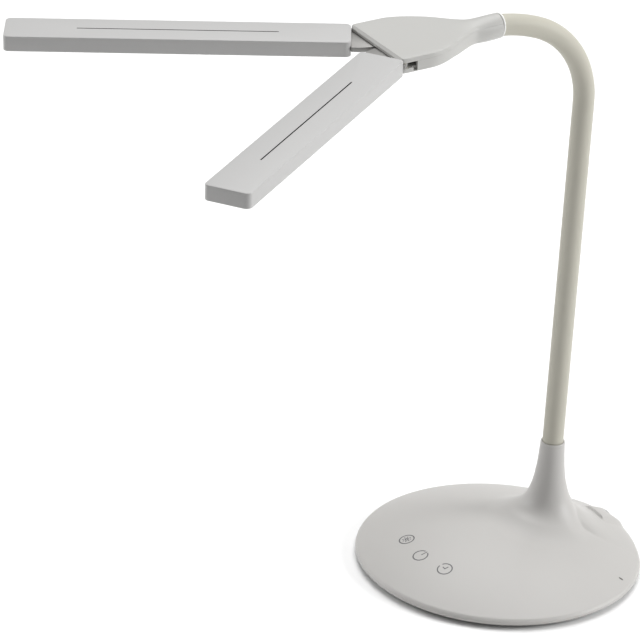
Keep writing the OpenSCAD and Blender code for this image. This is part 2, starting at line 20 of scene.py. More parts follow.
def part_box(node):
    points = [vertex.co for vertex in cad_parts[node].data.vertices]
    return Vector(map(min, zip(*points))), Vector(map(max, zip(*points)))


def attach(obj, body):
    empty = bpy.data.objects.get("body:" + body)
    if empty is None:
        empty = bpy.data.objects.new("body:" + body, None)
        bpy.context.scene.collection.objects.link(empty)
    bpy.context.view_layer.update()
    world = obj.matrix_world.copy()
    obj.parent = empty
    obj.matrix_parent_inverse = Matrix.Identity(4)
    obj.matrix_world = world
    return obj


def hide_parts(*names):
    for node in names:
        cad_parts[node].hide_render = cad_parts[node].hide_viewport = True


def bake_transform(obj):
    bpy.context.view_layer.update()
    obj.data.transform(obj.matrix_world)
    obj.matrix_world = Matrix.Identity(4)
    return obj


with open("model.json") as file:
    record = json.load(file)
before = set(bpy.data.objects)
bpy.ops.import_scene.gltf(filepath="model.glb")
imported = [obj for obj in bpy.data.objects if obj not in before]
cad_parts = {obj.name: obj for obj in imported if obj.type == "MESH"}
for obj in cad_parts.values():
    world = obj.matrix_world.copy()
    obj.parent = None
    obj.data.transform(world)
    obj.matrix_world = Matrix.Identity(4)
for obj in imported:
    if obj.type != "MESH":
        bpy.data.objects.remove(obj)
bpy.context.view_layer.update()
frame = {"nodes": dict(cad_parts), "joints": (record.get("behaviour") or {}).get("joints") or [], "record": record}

MM = 0.001
TAU = 2 * math.pi
CREASE = 35.0
log = logging.getLogger("desk_lamp")


# Shader maths


class Wire:
    """The output of a shader node, used in Python expressions."""

    def __init__(self, recipe: "Recipe", socket: bpy.types.NodeSocket) -> None:
        """Keeps the recipe that owns the socket, so that an expression can add nodes to it."""
        self.recipe = recipe
        self.socket = socket

    def maths(self, operation: str, *values: "Wire | float") -> "Wire":
        """Adds one Math node.

        Args:
            operation: The Math node's operation.
            values: Its inputs in order.

        Returns:
            The node's result.
        """
        return self.recipe.node("ShaderNodeMath", {"operation": operation}, dict(enumerate(values)))

    def __add__(self, other: "Wire | float") -> "Wire":
        """This plus other."""
        return self.maths("ADD", self, other)

    def __radd__(self, other: float) -> "Wire":
        """other plus this."""
        return self.maths("ADD", other, self)

    def __sub__(self, other: "Wire | float") -> "Wire":
        """This minus other."""
        return self.maths("SUBTRACT", self, other)

    def __rsub__(self, other: float) -> "Wire":
        """other minus this."""
        return self.maths("SUBTRACT", other, self)

    def __mul__(self, other: "Wire | float") -> "Wire":
        """This times other."""
        return self.maths("MULTIPLY", self, other)

    def __rmul__(self, other: float) -> "Wire":
        """other times this."""
        return self.maths("MULTIPLY", other, self)

    def held(self, low: float, high: float) -> "Wire":
        """This, held between two values."""
        return self.maths("MINIMUM", self.maths("MAXIMUM", self, low), high)


class Recipe:
    """One material while its nodes are put together."""

    def __init__(self, name: str) -> None:
        """Starts an empty material.

        Args:
            name: The material's name.
        """
        self.material = bpy.data.materials.new(name)
        self.material.use_nodes = True
        self.tree = self.material.node_tree
        self.tree.nodes.clear()

    def node(
        self,
        kind: str,
        settings: dict[str, Any] | None = None,
        inputs: dict[str | int, Any] | None = None,
        output: str | int | None = 0,
    ) -> Wire | None:
        """Adds one node.

        Args:
            kind: The node's type.
            settings: Its properties, set before its sockets. A ramp's stops go under "stops".
            inputs: Values or wires, by the name or number of the socket.
            output: The output that is returned, or None for a node that has none.

        Returns:
            The chosen output of the new node.
        """
        made = self.tree.nodes.new(kind)
        for name, value in (settings or {}).items():
            if name == "stops":
                self._stops(made.color_ramp, value)
            else:
                setattr(made, name, value)
        for name, value in (inputs or {}).items():
            if isinstance(value, Wire):
                self.tree.links.new(value.socket, made.inputs[name])
            else:
                made.inputs[name].default_value = value
        return None if output is None else Wire(self, made.outputs[output])

    @staticmethod
    def _stops(ramp: bpy.types.ColorRamp, stops: Sequence[tuple[float, Any]]) -> None:
        """Sets a ramp's positions and colours.

        Args:
            ramp: The ramp.
            stops: A position and a colour for each stop.
        """
        while len(ramp.elements) < len(stops):
            ramp.elements.new(1.0)
        for element, (position, colour) in zip(ramp.elements, stops, strict=True):
            element.position = position
            element.color = colour

    def place(self, attribute: str | None = None) -> Wire:
        """Coordinates on the piece.

        Args:
            attribute: The name of an attribute that follows the surface, in place of Object
                coordinates.

        Returns:
            The coordinates.
        """
        if attribute:
            named = {"attribute_name": attribute}
            return self.node("ShaderNodeAttribute", named, output="Vector")
        return self.node("ShaderNodeTexCoord", output="Object")

    def stretched(self, place: Wire, scale: Sequence[float]) -> Wire:
        """The same coordinates, scaled by axis."""
        return self.node("ShaderNodeMapping", {}, {"Vector": place, "Scale": tuple(scale)})

    def noise(
        self, place: Wire, per_metre: float, detail: float = 3.0, rough: float = 0.55
    ) -> Wire:
        """Adds noise.

        Args:
            place: The coordinates.
            per_metre: About how many blobs there are to the metre.
            detail: How many finer layers are added.
            rough: How strong the finer layers are.

        Returns:
            The noise, from 0 to 1.
        """
        return self.node(
            "ShaderNodeTexNoise",
            {"noise_dimensions": "3D"},
            {"Vector": place, "Scale": per_metre, "Detail": detail, "Roughness": rough},
        )

    def blend(self, share: Wire | float, first: Any, second: Any) -> Wire:
        """Mixes two colours.

        Args:
            share: How much of the second colour there is, from 0 to 1.
            first: The first colour.
            second: The second colour.

        Returns:
            The colour between them.
        """
        return self.node(
            "ShaderNodeMix",
            {"data_type": "RGBA"},
            {0: share, 6: first, 7: second},
            output=2,
        )

    def shaded(self, share: Wire, colour: "Colour", dark: float, light: float) -> Wire:
        """Varies a colour round its own tone.

        Args:
            share: How light it is, from 0 to 1.
            colour: The colour.
            dark: The factor for its darkest tone.
            light: The factor for its lightest tone.

        Returns:
            The colour.
        """
        return self.blend(share.held(0.0, 1.0), rgba(colour, dark), rgba(colour, light))

    def bump(self, height: Wire, depth: float, strength: float = 1.0) -> Wire:
        """Turns a height into a normal.

        Args:
            height: The height, from 0 to 1.
            depth: What a height of 1 stands for, in metres.
            strength: How strongly it shows.

        Returns:
            The normal.
        """
        return self.node(
            "ShaderNodeBump",
            {},
            {"Height": height, "Distance": depth, "Strength": strength},
        )

    def finish(self, sockets: dict[str, Any]) -> bpy.types.Material:
        """Ends the material in one Principled shader.

        Args:
            sockets: Values or wires, by the name of the shader's socket.

        Returns:
            The finished material.
        """
        shader = self.node("ShaderNodeBsdfPrincipled", {}, sockets)
        self.node("ShaderNodeOutputMaterial", {}, {"Surface": shader}, output=None)
        return self.material


Colour = tuple[float, float, float]


def rgba(colour: Colour, factor: float = 1.0) -> tuple[float, float, float, float]:
    """A colour for a socket, made lighter or darker by a factor."""
    return (*(min(1.0, c * factor) for c in colour), 1.0)


# Finishes


@dataclass(frozen=True)
class MouldedShell:
    """Satin injection-moulded plastic with a fine spark-eroded texture."""

    name: str
    colour: Colour
    roughness: float = 0.42
    texture_depth: float = 0.012 * MM
    tone: float = 0.02

    def build(self) -> bpy.types.Material:
        """Makes the material."""
        r = Recipe(self.name)
        place = r.place()
        cloud = r.noise(place, 14.0, 2.0)
        flow = r.noise(r.stretched(place, (1.0, 6.0, 1.0)), 34.0, 3.0)
        grain = r.noise(place, 3600.0, 2.0, 0.6)
        pits = r.noise(place, 1100.0, 4.0, 0.7)
        share = cloud * 0.6 + flow * 0.4
        colour = r.shaded(share, self.colour, 1 - self.tone, 1 + self.tone)
        rough = self.roughness - 0.04 + pits * 0.06 + flow * 0.03
        return r.finish(
            {
                "Base Color": colour,
                "Roughness": rough,
                "Specular IOR Level": 0.45,
                "Normal": r.bump(grain * 0.7 + pits * 0.3, self.texture_depth, 0.6),
            }
        )


@dataclass(frozen=True)
class SoftSleeve:
    """Smooth warm-white silicone over the gooseneck, with faint drawn lines and fine specks."""

    name: str
    colour: Colour

    def build(self) -> bpy.types.Material:
        """Makes the material."""
        r = Recipe(self.name)
        along = r.place("wrap")
        cloud = r.noise(along, 26.0, 3.0)
        drawn = r.noise(r.stretched(along, (1.0, 1.0, 0.02)), 900.0, 3.0)
        specks = r.noise(along, 2400.0, 2.0, 0.6)
        colour = r.shaded(cloud * 0.7 + specks * 0.3, self.colour, 0.975, 1.02)
        return r.finish(
            {
                "Base Color": colour,
                "Roughness": 0.5 + cloud * 0.08 + specks * 0.04,
                "Specular IOR Level": 0.4,
                "Normal": r.bump(drawn * 0.6 + specks * 0.4, 0.012 * MM, 0.7),
            }
        )


@dataclass(frozen=True)
class WorkedMetal:
    """Metal with the fine lines or the fine blasting of its last working step."""

    name: str
    colour: Colour
    roughness: float
    lines: tuple[float, float, float] = (1.0, 1.0, 1.0)
    grain_per_metre: float = 2600.0
    metallic: float = 1.0

    def build(self) -> bpy.types.Material:
        """Makes the material."""
        r = Recipe(self.name)
        place = r.place()
        grain = r.noise(r.stretched(place, self.lines), self.grain_per_metre, 3.0, 0.65)
        stain = r.noise(place, 90.0, 4.0, 0.6)
        colour = r.shaded(stain * 0.5 + grain * 0.5, self.colour, 0.88, 1.1)
        return r.finish(
            {
                "Base Color": colour,
                "Metallic": self.metallic,
                "Roughness": (self.roughness - 0.06 + grain * 0.1 + stain * 0.05).held(0.05, 1.0),
                "Normal": r.bump(grain, 0.02 * MM, 0.5),
            }
        )


@dataclass(frozen=True)
class MilkyLens:
    """Milky light diffuser with fine prism rows on its face."""

    name: str
    colour: Colour
    rows_per_metre: float = 700.0

    def build(self) -> bpy.types.Material:
        """Makes the material."""
        r = Recipe(self.name)
        place = r.place("wrap")
        rows = r.node(
            "ShaderNodeTexWave",
            {"wave_type": "BANDS", "bands_direction": "Y", "wave_profile": "TRI"},
            {"Vector": place, "Scale": self.rows_per_metre / 20.0, "Distortion": 0.0},
            output="Fac",
        )
        haze = r.noise(place, 60.0, 3.0)
        colour = r.shaded(haze, self.colour, 0.97, 1.02)
        return r.finish(
            {
                "Base Color": colour,
                "Roughness": 0.3 + haze * 0.08,
                "Specular IOR Level": 0.5,
                "Normal": r.bump(rows, 0.05 * MM, 0.5),
            }
        )


@dataclass(frozen=True)
class Foam:
    """Closed-cell foam or rubber with an open grain."""

    name: str
    colour: Colour
    cells_per_metre: float = 1400.0

    def build(self) -> bpy.types.Material:
        """Makes the material."""
        r = Recipe(self.name)
        place = r.place()
        cells = r.node(
            "ShaderNodeTexVoronoi",
            {"feature": "F1"},
            {"Vector": place, "Scale": self.cells_per_metre},
            output="Distance",
        )
        wear = r.noise(place, 40.0, 4.0)
        colour = r.shaded(cells * 0.6 + wear * 0.4, self.colour, 0.75, 1.35)
        return r.finish(
            {
                "Base Color": colour,
                "Roughness": 0.78 + wear * 0.15,
                "Specular IOR Level": 0.25,
                "Normal": r.bump(cells, 0.12 * MM, 0.7),
            }
        )


@dataclass(frozen=True)
class Lacquer:
    """Solder-mask lacquer over a laminate board, with its weave just showing."""

    name: str
    colour: Colour

    def build(self) -> bpy.types.Material:
        """Makes the material."""
        r = Recipe(self.name)
        place = r.place()
        weave = r.node(
            "ShaderNodeTexWave",
            {"wave_type": "BANDS", "bands_direction": "X"},
            {"Vector": place, "Scale": 130.0, "Distortion": 0.4},
            output="Fac",
        )
        tint = r.noise(place, 120.0, 3.0)
        colour = r.shaded(weave * 0.4 + tint * 0.6, self.colour, 0.82, 1.2)
        return r.finish(
            {
                "Base Color": colour,
                "Roughness": 0.24 + tint * 0.12,
                "Normal": r.bump(weave, 0.01 * MM, 0.5),
            }
        )


@dataclass(frozen=True)
class PrintedInk:
    """Pad-printed ink, a little uneven in its cover; the same finish also paints near-black shade into the bars'
    slit.
    """

    name: str
    colour: Colour

    def build(self) -> bpy.types.Material:
        """Makes the material."""
        r = Recipe(self.name)
        place = r.place()
        cover = r.noise(place, 1900.0, 3.0, 0.6)
        colour = r.shaded(cover, self.colour, 0.85, 1.3)
        return r.finish(
            {
                "Base Color": colour,
                "Roughness": 0.4 + cover * 0.15,
                "Normal": r.bump(cover, 0.01 * MM, 0.4),
            }
        )


class Slot(Enum):
    """The record's material slots and the finish that each one gets."""

    BASE_SHELL = MouldedShell("base_shell", (0.475, 0.465, 0.45), 0.46)
    HEAD_SHELL = MouldedShell("head_shell", (0.465, 0.462, 0.445), 0.42)
    BAR_HOUSING = MouldedShell("bar_housing", (0.47, 0.467, 0.462), 0.42)
    BOTTOM_PLATE = MouldedShell("bottom_plate", (0.42, 0.42, 0.41), 0.6, 0.03 * MM)
    WASHERS = MouldedShell("washers", (0.66, 0.62, 0.5), 0.5)
    FERRULE = MouldedShell("ferrule", (0.86, 0.86, 0.84), 0.22, 0.004 * MM)
    NECK_SLEEVE = SoftSleeve("neck_sleeve", (0.475, 0.46, 0.395))
    NECK_CORE = WorkedMetal("neck_core", (0.5, 0.5, 0.5), 0.35, (1.0, 1.0, 6.0))
    HINGE_LEAF = WorkedMetal("hinge_leaf", (0.3, 0.295, 0.285), 0.5, metallic=0.6)
    PINS = WorkedMetal("pins", (0.6, 0.6, 0.6), 0.28, (1.0, 1.0, 8.0))
    SCREWS = WorkedMetal("screws", (0.55, 0.55, 0.56), 0.32)
    ZINC = WorkedMetal("zinc", (0.58, 0.6, 0.62), 0.38)
    INLET = WorkedMetal("inlet", (0.72, 0.71, 0.68), 0.22, (8.0, 1.0, 1.0))
    BALLAST = WorkedMetal("ballast", (0.22, 0.22, 0.23), 0.5, metallic=0.8)
    LED_BOARDS = Lacquer("led_boards", (0.82, 0.82, 0.8))
    BOARDS = Lacquer("boards", (0.03, 0.17, 0.07))
    LEDS = PrintedInk("leds", (0.85, 0.68, 0.14))
    DIFFUSER = MilkyLens("diffuser", (0.86, 0.86, 0.84))
    MAT = Foam("mat", (0.03, 0.03, 0.03))
    TOUCH_PADS = Foam("touch_pads", (0.06, 0.06, 0.06), 2200.0)


class Extra(Enum):
    """Finishes of things that are printed on a piece or set into it, and the painted shade inside the bars' slit.
    """

    INK = PrintedInk("key_ink", (0.1, 0.1, 0.105))
    SLIT_SHADE = PrintedInk("bar_slit_painted_shade", (0.045, 0.045, 0.045))
    # Near-black painted shade for the walls and floor of the groove along each bar's top.
    PILOT = PrintedInk("pilot_window", (0.07, 0.065, 0.06))
    LINING = MouldedShell("inlet_lining", (0.11, 0.11, 0.11), 0.5, 0.02 * MM)


class Finishes:
    """Makes each finish once and hands it out."""

    def __init__(self) -> None:
        """Starts with none made."""
        self._made: dict[str, bpy.types.Material] = {}

    def of(self, choice: Slot | Extra) -> bpy.types.Material:
        """Gives a finish's material.

        Args:
            choice: The slot or the extra finish.

        Returns:
            The material, made the first time that it is asked for.
        """
        if choice.value.name not in self._made:
            self._made[choice.value.name] = choice.value.build()
        return self._made[choice.value.name]

    def dress_nodes(self) -> None:
        """Gives every CAD node the finish of its slot."""
        by_name = {slot.value.name: slot for slot in Slot}
        for row in frame["record"]["subparts"]:
            node = frame["nodes"][row["node"]]
            node.data.materials.clear()
            node.data.materials.append(self.of(by_name[row["material_slot"]]))


# Mesh helpers


def smooth(t: float) -> float:
    """A smooth step from 0 to 1 while t runs from 0 to 1."""
    t = max(0.0, min(1.0, t))
    return t * t * (3 - 2 * t)


def interpolate(table: Sequence[tuple[float, float]], at: float) -> float:
    """Reads a table of places and values.

    Args:
        table: The table, with its places in rising order.
        at: The place.

    Returns:
        The value there, on a straight line between its neighbours.
    """
    if at <= table[0][0]:
        return table[0][1]
    for (x0, y0), (x1, y1) in zip(table, table[1:], strict=False):
        if at <= x1:
            return y0 + (y1 - y0) * (at - x0) / (x1 - x0)
    return table[-1][1]


def blend_max(a: float, b: float, reach: float) -> float:
    """Joins two heights.

    Args:
        a: One height.
        b: The other height.
        reach: How near each other they are where the fillet between them starts.

    Returns:
        The larger one, with a fillet where they meet.
    """
    h = max(reach - abs(a - b), 0.0) / reach
    return max(a, b) + h * h * reach / 4


class Loft:
    """A skin that is drawn out ring by ring from a circle."""

    def __init__(self, count: int) -> None:
        """Starts with one ring.

        Args:
            count: How many points it has.
        """
        self.mesh = bmesh.new()
        made = bmesh.ops.create_circle(self.mesh, segments=count, radius=1.0)
        self.ring: list[bmesh.types.BMVert] = made["verts"]
        self.first = list(self.ring)

    def _move(self, place: Callable[[int], Vector]) -> None:
        """Puts the points of the present ring in place."""
        for k, vert in enumerate(self.ring):
            vert.co = place(k)

    def start(self, place: Callable[[int], Vector]) -> None:
        """Puts the first ring in place.

        Args:
            place: Gives the place of each point of the ring by its number.
        """
        self._move(place)

    def draw(self, place: Callable[[int], Vector]) -> None:
        """Draws the ring out to its next place.

        Args:
            place: Gives the place of each point of the new ring by its number.
        """
        edges = self._edges(self.ring)
        made = bmesh.ops.extrude_edge_only(self.mesh, edges=edges)
        fresh = {v for v in made["geom"] if isinstance(v, bmesh.types.BMVert)}
        self.ring = [
            next(e.other_vert(vert) for e in vert.link_edges if e.other_vert(vert) in fresh)
            for vert in self.ring
        ]
        self._move(place)

    def _edges(self, ring: list[bmesh.types.BMVert]) -> list[bmesh.types.BMEdge]:
        """The edges that join a ring's points in order."""
        pairs = zip(ring, ring[1:] + ring[:1], strict=True)
        return [self.mesh.edges.get(pair) for pair in pairs]

    def cap(self) -> None:
        """Closes both ends with flat faces."""
        for ring in (self.first, self.ring):
            bmesh.ops.contextual_create(self.mesh, geom=self._edges(ring))

    def close(self) -> None:
        """Joins the last ring to the first, for a wall that comes back on itself."""
        edges = self._edges(self.first) + self._edges(self.ring)
        bmesh.ops.bridge_loops(self.mesh, edges=edges)


@dataclass
class Workshop:
    """Turns finished meshes into pieces that ride on the frame."""

    finishes: Finishes
    pieces: list[str] = field(default_factory=list)

    def piece(
        self,
        name: str,
        mesh: bmesh.types.BMesh,
        body: str | None,
        finish: Slot | Extra,
        stands_for: Sequence[str] = (),
        crease: float = CREASE,
        at: Matrix | None = None,
    ) -> bpy.types.Object:
        """Makes one piece of the lamp.

        Args:
            name: The piece's name.
            mesh: Its mesh, which is used up.
            body: The CAD body it rides on, or None for a piece that rides on none.
            finish: Its finish.
            stands_for: The CAD nodes it replaces.
            crease: The angle in degrees from which an edge stays sharp.
            at: Where the mesh goes, if it was made elsewhere.

        Returns:
            The new object, which sits at the origin.
        """
        if at is not None:
            bmesh.ops.transform(mesh, matrix=at, verts=mesh.verts)
        bmesh.ops.recalc_face_normals(mesh, faces=mesh.faces)
        data = bpy.data.meshes.new(name)
        mesh.to_mesh(data)
        mesh.free()
        data.shade_smooth()
        data.set_sharp_from_angle(angle=math.radians(crease))
        data.materials.append(self.finishes.of(finish))
        made = bpy.data.objects.new(name, data)
        bpy.context.scene.collection.objects.link(made)
        if body:
            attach(made, body)
        if stands_for:
            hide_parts(*stands_for)
        self.pieces.append(name)
        log.info("%s: %d faces on %s", name, len(data.polygons), body or "two bodies")
        return made


def cut(
    piece: bpy.types.Object,
    cutter: bmesh.types.BMesh,
    finish: bpy.types.Material | None = None,
) -> None:
    """Cuts a closed shape out of a piece and keeps the result in its mesh.

    Args:
        piece: The object that is cut.
        cutter: The closed shape, which is used up.
        finish: The material of the cut faces, if it isn't the piece's own.
    """
    bmesh.ops.recalc_face_normals(cutter, faces=cutter.faces)
    data = bpy.data.meshes.new("cutter")
    cutter.to_mesh(data)
    cutter.free()
    if finish is not None:
        data.materials.append(finish)
        piece.data.materials.append(finish)
    tool = bpy.data.objects.new("cutter", data)
    bpy.context.scene.collection.objects.link(tool)
    step = piece.modifiers.new("cut", "BOOLEAN")
    step.operation = "DIFFERENCE"
    step.solver = "EXACT"
    step.object = tool
    if finish is not None:
        step.material_mode = "TRANSFER"
    graph = bpy.context.evaluated_depsgraph_get()
    result = bpy.data.meshes.new_from_object(piece.evaluated_get(graph))
    piece.modifiers.clear()
    old = piece.data
    piece.data = result
    bpy.data.meshes.remove(old)
    bpy.data.objects.remove(tool)
    piece.data.set_sharp_from_angle(angle=math.radians(CREASE))


def push(
    mesh: bmesh.types.BMesh,
    faces: Sequence[bmesh.types.BMFace],
    way: Sequence[float],
    pocket: bool = False,
) -> None:
    """Draws faces out, or into a closed shape as a pocket.

    Args:
        mesh: The mesh.
        faces: The faces that are drawn out.
        way: How far they go along each axis.
        pocket: Whether the faces themselves are moved, so that nothing is left where they were.
    """
    made = bmesh.ops.extrude_face_region(mesh, geom=list(faces))
    if pocket:
        bmesh.ops.delete(mesh, geom=list(faces), context="FACES_ONLY")
    fresh = [v for v in made["geom"] if isinstance(v, bmesh.types.BMVert)]
    bmesh.ops.translate(mesh, vec=way, verts=fresh)


def thicken(ink: bmesh.types.BMesh, depth: float) -> None:
    """Gives a flat drawing a thickness upwards."""
    bmesh.ops.remove_doubles(ink, verts=ink.verts, dist=0.005 * MM)
    push(ink, list(ink.faces), (0, 0, depth))


def rounded_bar(width: float, tall: float, depth: float) -> bmesh.types.BMesh:
    """Makes a bar along +Z whose section is a slot with round ends.

    Args:
        width: The section's length along X.
        tall: The section's height along Y.
        depth: The bar's length.

    Returns:
        The closed shape, from Z = 0 up.
    """
    made = bmesh.new()
    circle = bmesh.ops.create_circle(made, cap_ends=True, segments=40, radius=tall / 2)
    for vert in circle["verts"]:
        if abs(vert.co.x) > 1e-9:
            vert.co.x += math.copysign((width - tall) / 2, vert.co.x)
    push(made, list(made.faces), (0, 0, depth))
    return made


def block(size: Sequence[float], middle: Sequence[float]) -> bmesh.types.BMesh:
    """Makes a block.

    Args:
        size: Its length along each axis.
        middle: The place of its middle.

    Returns:
        The block.
    """
    made = bmesh.new()
    bmesh.ops.create_cube(made, size=1.0)
    shape = Matrix.Translation(middle) @ Matrix.Diagonal((*size, 1.0))
    bmesh.ops.transform(made, matrix=shape, verts=made.verts)
    return made


def wrap_attribute(made: bpy.types.Object, places: Sequence[Sequence[float]]) -> None:
    """Gives a piece's points the coordinates that its finish follows, as attribute "wrap".

    Args:
        made: The piece.
        places: The coordinates of each of its points.
    """
    layer = made.data.attributes.new("wrap", "FLOAT_VECTOR", "POINT")
    for vert, value in zip(layer.data, places, strict=True):
        vert.vector = value


# Places read from the frame


@dataclass(frozen=True)
class Places:
    """Where the frame's joints and nodes put the lamp's parts."""

    ring: Vector
    droop: float
    flex: tuple[Vector, ...]
    pivot: dict[int, Vector]
    opening: dict[int, float]

    @staticmethod
    def read() -> "Places":
        """Reads the joints and the neck's end from the frame."""
        joints = {j["name"]: j for j in frame["joints"]}
        low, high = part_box("neck_ferrule")
        axis = joints["right_hinge"]["axis"]
        sides = {-1: joints["left_hinge"], 1: joints["right_hinge"]}
        return Places(
            ring=(low + high) / 2,
            droop=math.atan2(-axis[1], axis[2]),
            flex=tuple(Vector(joints[f"neck_flex_{i}"]["pos_m"]) for i in range(1, 7)),
            pivot={side: Vector(j["pos_m"]) for side, j in sides.items()},
            opening={side: math.radians(-j["range_deg"][0]) for side, j in sides.items()},
        )

    @property
    def head(self) -> Matrix:
        """The head's own frame: origin at the neck's end, forward is -Y."""
        return Matrix.Translation(self.ring) @ Matrix.Rotation(self.droop, 4, "X")

    def bar(self, side: int) -> Matrix:
        """A bar's own frame: origin at its hinge pin, the bar reaches towards -Y.

        Args:
            side: -1 for the left bar, 1 for the right one.

        Returns:
            The frame, at the height of the head's middle plane.
        """
        local = self.head.inverted() @ self.pivot[side]
        place = Matrix.Translation((local.x, local.y, 0.0))
        return self.head @ place @ Matrix.Rotation(side * self.opening[side], 4, "Z")


# Sub-assemblies


@dataclass
class Base:
    """The domed base with the pedestal of the neck and the raised rear with the power inlet.

    Sizes are metres down to the pilot window. The tables after it and the numbers of the raised
    rear are millimetres. The flare sums falling curves: the size of each one, the height where it
    has that size, and how fast it falls.
    """

    places: Places
    shop: Workshop
    rim_top: float = 6 * MM
    rise: float = 20.5 * MM
    wall: float = 2.4 * MM
    lip_z: float = 78.8 * MM
    lip_r: float = 7.75 * MM
    lip_round: float = 0.35 * MM
    level_step: float = 1.1 * MM
    bore_r: float = 6.85 * MM
    bore_depth: float = 22 * MM
    core_r: float = 5.06 * MM
    socket_r: float = 9.66 * MM
    socket_z: float = 19 * MM
    socket_top: float = 22 * MM
    shoulder: float = 11 * MM
    merge: float = 16 * MM
    foot: float = 24 * MM
    spread: float = 26 * MM
    rear_turn: float = 16 * MM
    rear_drop: float = 0.6
    rear_start: float = 15 * MM
    rear_reach: float = 14 * MM
    fillet: float = 0.7 * MM
    rim_inset: float = 1.2 * MM
    spokes: int = 360
    rings: int = 110
    inner_rings: int = 24
    foot_rings: int = 19
    recess: tuple[float, float, float] = (3.2 * MM, 2.2 * MM, 12 * MM)
    socket_slot: tuple[float, float, float] = (0.3 * MM, 0.3 * MM, 6 * MM)
    lining: tuple[float, float, float] = (3.1 * MM, 2.1 * MM, 1.9 * MM)
    lining_hole: tuple[float, float, float] = (0.1 * MM, 0.1 * MM, 9 * MM)
    slit: tuple[float, float, float] = (17 * MM, 0.6 * MM, 3 * MM)
    slit_y: float = 73.4 * MM
    slit_sink: float = 1.6 * MM
    slit_lean: float = -30.0
    key_r: float = 61.2 * MM
    key_step: float = 20.8
    key_turn: float = 2.6
    symbol_r: float = 4.65 * MM
    line: float = 0.8 * MM
    stroke: float = 0.7 * MM
    ink_depth: float = 0.05 * MM
    ink_sink: float = 0.02 * MM
    pilot: tuple[float, float] = (69.3 * MM, 49.2 * MM)
    pilot_r: float = 0.9 * MM
    pilot_shape: tuple[float, float, float] = (1.7, 0.8, 1.0)
    pilot_turn: float = 40.0
    flare_least: float = 7.3
    flare: tuple[tuple[float, float, float], ...] = ((4.6, 45.0, 16.5), (1.1, 36.0, 4.5))
    rim: tuple[tuple[float, float], ...] = (
        (0.55, 5.75),
        (0.15, 5.3),
        (0.0, 4.7),
        (0.0, 4.05),
        (0.25, 3.6),
        (1.3, 2.65),
        (2.2, 2.6),
        (2.4, 4.2),
    )
    crest: tuple[tuple[float, float], ...] = (
        (44, 15.5),
        (50, 13.2),
        (56, 10.2),
        (60, 8.2),
        (65, 6.0),
        (70, 4.6),
        (75, 3.9),
        (80, 3.6),
        (85, 3.3),
        (92, 2.5),
    )
    hood: tuple[tuple[float, float], ...] = (
        (73.6, 0.0),
        (74.2, 1.3),
        (77, 2.1),
        (80, 2.5),
        (85, 2.9),
        (92, 2.5),
    )
    tail_from: float = 21.0
    tail_splay: float = 0.75
    tail_power: float = 1.8
    hood_half: float = 7.0
    hood_fade: float = 6.0
    tail_end: float = 80.0
    tail_run: float = 11.0

    def __post_init__(self) -> None:
        """Works out the rim, the dome's radius, the neck's place and the flare's profile."""
        self.rim_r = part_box("base_cover")[1].x
        self.neck_y = self.places.flex[0].y
        levels = [22 + 0.25 * i for i in range(233)]
        self.profile = [(self.flare_r(z), z) for z in reversed(levels)]
        self.dome_r = (self.rim_r**2 + self.rise**2) / (2 * self.rise)
        self.top = self.rim_top + self.rise

    def dome(self, x: float, y: float) -> float:
        """Height of the plain dome."""
        span = min(x * x + y * y, self.rim_r**2)
        return self.top - self.dome_r + math.sqrt(self.dome_r**2 - span)

    def flare_r(self, z: float) -> float:
        """Radius of the pedestal at a height, both in millimetres."""
        return self.flare_least + sum(r * math.exp((at - z) / fall) for r, at, fall in self.flare)

    def flare_z(self, distance: float) -> float:
        """Height of the pedestal's skin at a distance from the neck's axis."""
        return interpolate(self.profile, distance / MM) * MM

    def tail_height(self, x: float, y: float) -> float:
        """Height of the raised rear above the dome, with the hood behind its slit.

        Args:
            x: The place across the base.
            y: The place along the base, towards the rear.

        Returns:
            The height, 0 outside the raised rear.
        """
        x, y = abs(x) / MM, y / MM
        half = self.tail_splay * (y - self.tail_from)
        if x >= half or y < self.neck_y / MM:
            return 0.0
        ridge = interpolate(self.crest, y) * (1 - (x / half) ** self.tail_power)
        hood = interpolate(self.hood, y) * (1 - smooth((x - self.hood_half) / self.hood_fade))
        far = max((math.hypot(x, y) - self.tail_end) / self.tail_run, 0.0)
        return (ridge + hood) * max(1 - far**4, 0.0) ** 0.25 * MM

    def height(self, x: float, y: float) -> float:
        """Height of the cover's outside.

        Args:
            x: The place across the base.
            y: The place along the base, towards the rear.

        Returns:
            The height above the desk: the pedestal's flare, which runs out into the dome and
            drops away sooner behind the neck, or the raised rear where that is higher.
        """
        distance = math.hypot(x, y - self.neck_y)
        dome, level = self.dome(x, y), self.flare_z(distance)
        foot = max(level - self.dome(0.0, self.neck_y), 0.0)
        spread = dome + foot * (1 - smooth((distance - self.foot) / self.spread))
        level += (spread - level) * smooth((distance - self.shoulder) / self.merge)
        behind = self.rear_drop * smooth((y - self.neck_y) / self.rear_turn)
        level += (dome - level) * behind * smooth((distance - self.rear_start) / self.rear_reach)
        return blend_max(level, dome + self.tail_height(x, y), self.fillet)

    def _reach(self, angle: float, radius: float) -> float:
        """Distance from the neck's axis to a circle about the base's centre."""
        along = self.neck_y * math.sin(angle)
        return -along + math.sqrt(along**2 + radius**2 - self.neck_y**2)

    def _spot(self, k: int, distance: float, z: float) -> Vector:
        """A point of ring number k, at a distance from the neck's axis."""
        angle = TAU * k / self.spokes
        return Vector((distance * math.cos(angle), self.neck_y + distance * math.sin(angle), z))

    def _ring(self, distance: float, z: float) -> Callable[[int], Vector]:
        """A round ring about the neck."""
        return lambda k: self._spot(k, distance, z)

    def _lifted(self, distance: float) -> Callable[[int], Vector]:
        """A round ring about the neck that lies on the cover's outside."""
        return lambda k: self._lift(self._spot(k, distance, 0.0))

    def _lift(self, spot: Vector, low: float = 0.0) -> Vector:
        """The same spot on the cover's outside, or a depth below it."""
        spot.z = self.height(spot.x, spot.y) - low
        return spot

